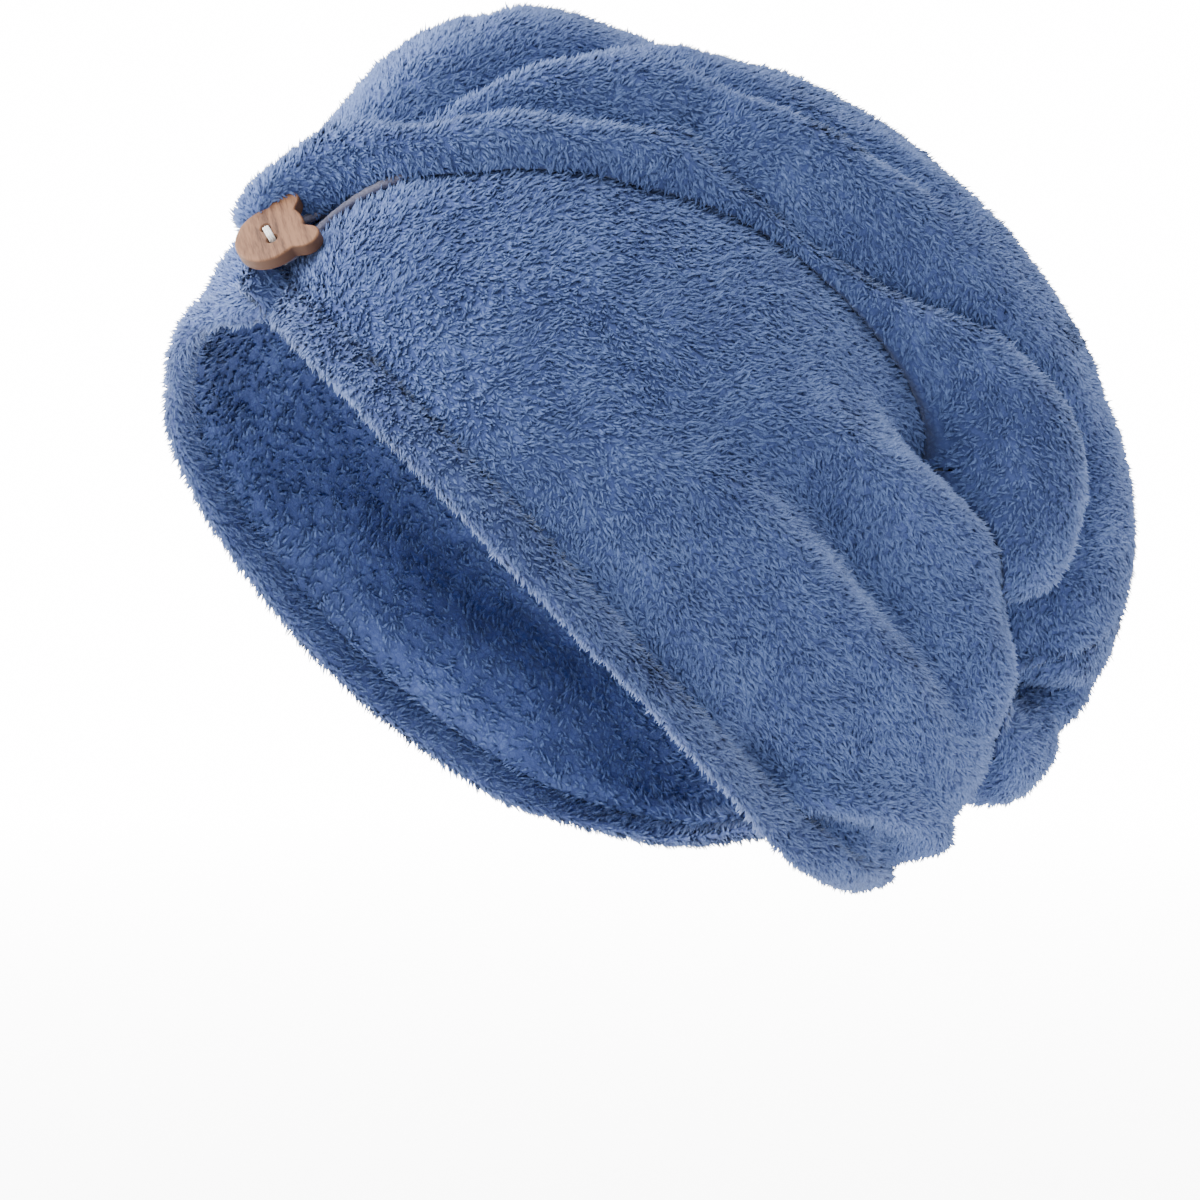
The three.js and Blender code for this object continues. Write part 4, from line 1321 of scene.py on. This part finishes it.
@dataclass
class Button:
    """The wooden button, a bear's head cut from a board, with its thread and the elastic loop.

    Lengths in millimetres, angles in degrees. strands holds places along the loop's two strands: sigma
    and the psi of each. bend is the way round the thread, in shares of half the loop's spread.
    """

    sigma: float = 6.3
    psi: float = 62.0
    tip: float = 20.0
    lean: float = -21.0
    width: float = 17.0
    height: float = 15.5
    thick: float = 3.0
    ear: float = 3.2
    ear_spread: float = 13.6
    ear_level: float = 6.2
    hole: float = 2.1
    spacing: float = 4.4
    shank: float = 5.5
    cord: float = 2.0
    loop_spread: float = 9.5
    strands: tuple = ((38, 60, 65), (29, 57, 62), (21, 59, 65), (14.5, 67, 79))
    bend: tuple = ((1, 0.6), (0.85, -0.2), (0, -0.55), (-0.85, -0.2), (-1, 0.6))
    angles: int = 192
    bevel: float = 0.55
    bevel_steps: int = 6
    shares: tuple[float, ...] = (0.12, 0.3, 0.5, 0.7, 0.88)
    drill_sides: int = 40
    countersink: float = 0.4
    grain_turn: float = 8.0
    scorched: float = 0.5
    crisp: float = 40.0
    loop_steps: int = 240
    loop_sides: int = 14
    stitch: float = 0.3
    stitches: tuple[float, ...] = (-0.42, 0.0, 0.42)
    stitch_steps: int = 90
    stitch_sides: int = 8

    def axes(self) -> tuple[Array, Array]:
        """The button's centre and its axes, in the shell's frame."""
        at = (np.array(self.sigma), np.array(self.psi))
        lift = SHELL.fold_height(PANEL_FOLDS[Side.NEAR], *at) + self.shank
        centre = SHELL.point(*at, lift)
        normal = SHELL.normal(SHELL.point(*at, 0.0))
        up = unit(np.array([0.0, 0.0, 1.0]) - normal * normal[2])
        tipped = np.array(Matrix.Rotation(math.radians(self.tip), 3, Vector(up)) @ Vector(normal))
        leaned = np.array(Matrix.Rotation(math.radians(self.lean), 3, Vector(tipped)) @ Vector(up))
        return centre, np.stack([np.cross(leaned, tipped), leaned, tipped])

    def placed(self, points: Array) -> Array:
        """Points of the button's own frame in the shell's frame."""
        centre, axes = self.axes()
        return centre + points @ axes

    def outline(self) -> Array:
        """The distance from the button's middle to its outline, all round."""
        angle = circle(self.angles)
        way = np.stack([np.cos(angle), np.sin(angle)], -1)
        reach = 1 / np.hypot(way[:, 0] / (self.width / 2), way[:, 1] / (self.height / 2))
        for x in (-self.ear_spread / 2, self.ear_spread / 2):
            middle = np.array([x, self.ear_level])
            along = way @ middle
            across = self.ear**2 - (middle @ middle - along**2)
            edge = along + np.sqrt(np.maximum(0, across))
            reach = np.where((across > 0) & (along > 0), np.maximum(reach, edge), reach)
        for _ in range(3):
            reach = 0.25 * np.roll(reach, 1) + 0.5 * reach + 0.25 * np.roll(reach, -1)
        return reach

    def board(self) -> tuple[Array, list[tuple[int, ...]]]:
        """The points of the board in its own frame, and its faces, with rounded edges and no holes."""
        reach, angle, bevel = self.outline(), circle(self.angles), self.bevel
        arc = np.radians(np.linspace(90, 0, self.bevel_steps))
        face = [(reach - bevel) * share for share in self.shares]
        rings = [ring(angle, radius, self.thick) for radius in face]
        for upper, turns in ((True, arc), (False, arc[::-1])):
            for a in turns:
                up = self.thick - bevel + bevel * math.sin(a) if upper else bevel - bevel * math.sin(a)
                rings.append(ring(angle, reach + (bevel * math.cos(a) - bevel), up))
        rings += [ring(angle, radius, 0.0) for radius in face[::-1]]
        return lofted(np.array(rings))

    def drilled(self, board: bpy.types.Object) -> None:
        """Cuts the two holes through the board, wider at the face."""
        narrow, wide = self.hole / 2, self.hole / 2 + self.countersink
        profile = [(narrow, -2.0), (narrow, self.thick - 0.35), (wide, self.thick + 0.05), (wide, 5.0)]
        for way in (-1, 1):
            middle = way * self.spacing / 2
            angle = circle(self.drill_sides)
            points, faces = lofted(np.array([ring(angle, r, z, middle) for r, z in profile]))
            mesh = bpy.data.meshes.new("drill")
            mesh.from_pydata(SHELL.to_row(self.placed(points)).tolist(), [], faces)
            tidy_normals(mesh)
            drill = bpy.data.objects.new("drill", mesh)
            bpy.context.scene.collection.objects.link(drill)
            cut = board.modifiers.new("hole", "BOOLEAN")
            cut.operation, cut.solver, cut.object = "DIFFERENCE", "EXACT", drill
            bpy.context.view_layer.update()
            shown = board.evaluated_get(bpy.context.evaluated_depsgraph_get())
            cut_mesh = bpy.data.meshes.new_from_object(shown)
            board.modifiers.clear()
            board.data = cut_mesh
            bpy.data.objects.remove(drill)

    def loop_path(self) -> Array:
        """The elastic loop's line: from under the tail, round the thread and back."""
        rows = np.array(self.strands, dtype=float)

        def strand(column: int) -> Array:
            """One strand's points over the panel."""
            sigma, psi = rows[:, 0], rows[:, column]
            height = SHELL.fold_height(PANEL_FOLDS[Side.NEAR], sigma, psi)
            return SHELL.point(sigma, psi, height + self.cord / 2 - GAP)

        half = self.loop_spread / 2
        level = -self.cord / 2 - GAP
        turn = self.placed(np.array([(x * half, y * half, level) for x, y in self.bend]))
        return np.concatenate([strand(1), turn, strand(2)[::-1]])

    def build(self, wood: WoodFinish, yarn: bpy.types.Material, elastic: bpy.types.Material) -> None:
        """Builds the button, its thread and the loop."""
        points, faces = self.board()
        axes = self.axes()[1]
        to_row = Matrix.Rotation(-math.radians(SHELL.tilt), 3, "X")
        grain = (to_row @ Matrix(axes.tolist()).transposed()).transposed()
        made = wood.material(Matrix.Rotation(math.radians(self.grain_turn), 3, "Z") @ grain)
        board = new_piece("button_board", self.placed(points), faces, made)
        self.drilled(board)
        self.shade_board(board)
        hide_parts("bear_button")
        self.sew(yarn)
        path = smooth_path(self.loop_path(), self.loop_steps)
        steps = np.arange(self.loop_steps)[:, None]
        ribs = 1 + 0.07 * np.cos(6 * circle(self.loop_sides) + 1.1 * steps)
        points, faces = tube(path, self.cord / 2 * 0.96 * ribs, self.loop_sides)
        loop = new_piece("loop_cord", points, faces, elastic)
        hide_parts("elastic_loop")

    def shade_board(self, board: bpy.types.Object) -> None:
        """Marks the cut edges, which the cutting beam has scorched, and shades the board crisply."""
        mesh = board.data
        centre, axes = self.axes()
        mesh.update()
        places = np.empty(3 * len(mesh.vertices))
        mesh.vertices.foreach_get("co", places)
        origin = SHELL.to_row(np.concatenate([np.zeros((1, 3)), np.eye(3)]))
        local = (places.reshape(-1, 3) - origin[0]) @ np.linalg.inv(origin[1:] - origin[0])
        own = (local - centre) @ axes.T
        depth = np.minimum(own[:, 2], self.thick - own[:, 2])
        store_values(mesh, "scorch", smooth(depth / self.scorched))
        mesh.polygons.foreach_set("use_smooth", np.ones(len(mesh.polygons), dtype=bool))
        mesh.set_sharp_from_angle(angle=math.radians(self.crisp))

    def sew(self, yarn: bpy.types.Material) -> None:
        """Sews the button on: strands of thread down one hole, over the face and down the other."""
        foot = -self.shank + 0.9
        top = self.thick + GAP / 2 + self.stitch
        steps = np.arange(self.stitch_steps)[:, None]
        twist = 1 + 0.13 * np.cos(2 * circle(self.stitch_sides) + 0.9 * steps)
        parts, faces = [], []
        for k, offset in enumerate(self.stitches):
            loose = 0.12 * (k % 2)
            side = self.spacing / 2 - 0.15 + loose
            up = [(0.4 * offset, foot), (offset * 0.8, 0.0), (offset, top - 0.9)]
            line = [(-side, y, z) for y, z in up]
            line += [(-side + 0.7, offset, top), (0.0, offset, top + loose), (side - 0.7, offset, top)]
            line += [(side, y, z) for y, z in up[::-1]]
            path = smooth_path(np.array(line), self.stitch_steps)
            points, more = tube(path, self.stitch * twist, self.stitch_sides)
            start = sum(len(p) for p in parts)
            faces += [tuple(i + start for i in face) for face in more]
            parts.append(points)
        sewn = new_piece("button_stitches", self.placed(np.concatenate(parts)), faces, yarn)
        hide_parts("button_thread")


# Stage


def aimed(name: str, data: bpy.types.ID, place: Vector, way: Vector) -> bpy.types.Object:
    """Adds a camera or light at a place, facing a way."""
    made = bpy.data.objects.new(name, data)
    made.location = place
    made.rotation_mode = "QUATERNION"
    made.rotation_quaternion = way.to_track_quat("-Z", "Y")
    bpy.context.scene.collection.objects.link(made)
    return made


@dataclass(frozen=True)
class Stage:
    """The pale studio: floor, soft lights, and the camera at the photograph's angle."""

    azimuth: float = 63.0
    elevation: float = 5.0
    distance: float = 0.9
    field_width: float = 0.264
    target: tuple[float, float, float] = (0.0, 0.00553, -0.09865)
    sensor: float = 36.0
    floor_level: float = -0.42
    floor_reach: float = 40.0
    floor_tone: tuple[float, ...] = (0.86, 0.86, 0.86, 1.0)
    backdrop: float = 16.0
    surround: float = 0.85

    def build(self) -> None:
        """Builds it all."""
        self.camera()
        self.floor()
        self.world()
        self.light("key", (-0.35, -1.05, 0.5), 1.5, 37.0)
        self.light("far", (-0.95, -0.45, 0.3), 1.2, 26.0)
        self.light("rim", (0.05, 1.1, 0.35), 1.5, 19.0)
        self.light("top", (0.1, -0.5, 1.1), 1.5, 23.0)

    def camera(self) -> None:
        """Sets the camera."""
        a, e = math.radians(self.azimuth), math.radians(self.elevation)
        back = Vector((math.sin(a) * math.cos(e), -math.cos(a) * math.cos(e), math.sin(e)))
        data = bpy.data.cameras.new("camera")
        data.sensor_width = self.sensor
        data.lens = self.sensor * self.distance / self.field_width
        data.clip_start, data.clip_end = 0.05, 100.0
        bpy.context.scene.camera = aimed("camera", data, Vector(self.target) + back * self.distance, -back)

    def floor(self) -> None:
        """Makes the floor, which fades into the backdrop's tone far out."""
        mesh = bpy.data.meshes.new("floor")
        r = self.floor_reach
        corners = [(-r, -r), (r, -r), (r, r), (-r, r)]
        mesh.from_pydata([(x, y, self.floor_level) for x, y in corners], [], [(0, 1, 2, 3)])
        made, nodes, shader = new_material("floor_paper", {"Base Color": self.floor_tone, "Roughness": 0.9})
        glow = nodes.add("ShaderNodeEmission", {"Color": WHITE, "Strength": self.backdrop})
        length = nodes.add("ShaderNodeVectorMath", operation="LENGTH")
        nodes.join(nodes.place(), length.inputs[0])
        far = nodes.add("ShaderNodeMapRange", {"From Min": 0.2, "From Max": 2.0, "To Min": 0.25})
        nodes.join(length.outputs["Value"], far.inputs["Value"])
        seen = nodes.add("ShaderNodeLightPath").outputs["Is Camera Ray"]
        mixed = nodes.add("ShaderNodeMixShader")
        nodes.join(nodes.math("MULTIPLY", far.outputs["Result"], seen), mixed.inputs[0])
        nodes.join(shader.outputs[0], mixed.inputs[1])
        nodes.join(glow.outputs[0], mixed.inputs[2])
        nodes.join(mixed.outputs[0], made.node_tree.nodes["Material Output"].inputs["Surface"])
        mesh.materials.append(made)
        floor = bpy.data.objects.new("floor", mesh)
        bpy.context.scene.collection.objects.link(floor)

    def world(self) -> None:
        """Lights the scene all round."""
        world = bpy.data.worlds.new("studio")
        world.use_nodes = True
        nodes = NodeTree(world.node_tree)
        dim = world.node_tree.nodes["Background"]
        set_inputs(dim, {"Color": WHITE, "Strength": self.surround})
        bright = nodes.add("ShaderNodeBackground", {"Color": WHITE, "Strength": self.backdrop})
        mixed = nodes.add("ShaderNodeMixShader")
        nodes.join(nodes.add("ShaderNodeLightPath").outputs["Is Camera Ray"], mixed.inputs[0])
        nodes.join(dim.outputs[0], mixed.inputs[1])
        nodes.join(bright.outputs[0], mixed.inputs[2])
        nodes.join(mixed.outputs[0], world.node_tree.nodes["World Output"].inputs["Surface"])
        bpy.context.scene.world = world

    def light(self, name: str, place: tuple[float, float, float], size: float, power: float) -> None:
        """Adds a soft square light that faces the turban.

        Args:
            name: The light's name.
            place: Where it stands, from the turban's middle, in metres.
            size: Its width in metres.
            power: Its power in watts.
        """
        data = bpy.data.lights.new(name, "AREA")
        data.size, data.energy = size, power
        aimed(name, data, Vector(self.target) + Vector(place), -Vector(place))


def declare_cloth() -> None:
    """Runs through the sides' names; it declares nothing."""
    for side in Side:
        name = side.name.lower()


def main() -> None:
    """Builds the turban piece by piece."""
    logging.basicConfig(level=logging.INFO, format="%(name)s %(message)s")
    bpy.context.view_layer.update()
    Stage().build()
    plush = FleeceFinish("plush_fleece", (0.06, 0.09, 0.245), (0.143, 0.215, 0.48), (0.215, 0.315, 0.64))
    turned = FleeceFinish("hem_fleece", (0.06, 0.087, 0.23), (0.143, 0.21, 0.455), (0.215, 0.305, 0.60))
    fleece, hem_fleece = plush.material(), turned.material()
    elastic = YarnFinish("covered_elastic", (0.125, 0.125, 0.185), (0.06, 0.06, 0.10), 0.0006).material()
    yarn = YarnFinish("cotton_thread", (0.86, 0.85, 0.83), (0.6, 0.59, 0.58), 0.0003).material()
    near, far = SidePanel(Side.NEAR), SidePanel(Side.FAR, tufts=22000, seed=2)
    for panel in (near, far):
        panel.build(fleece)
    Hem(Side.NEAR, tufts=12000, seed=5).build(hem_fleece)
    Hem(Side.FAR, tufts=8000, seed=6).build(hem_fleece)
    Tail({Side.NEAR: near, Side.FAR: far}).build(fleece)
    Button().build(WoodFinish(), yarn, elastic)
    declare_cloth()


if __name__ == "__main__":
    main()
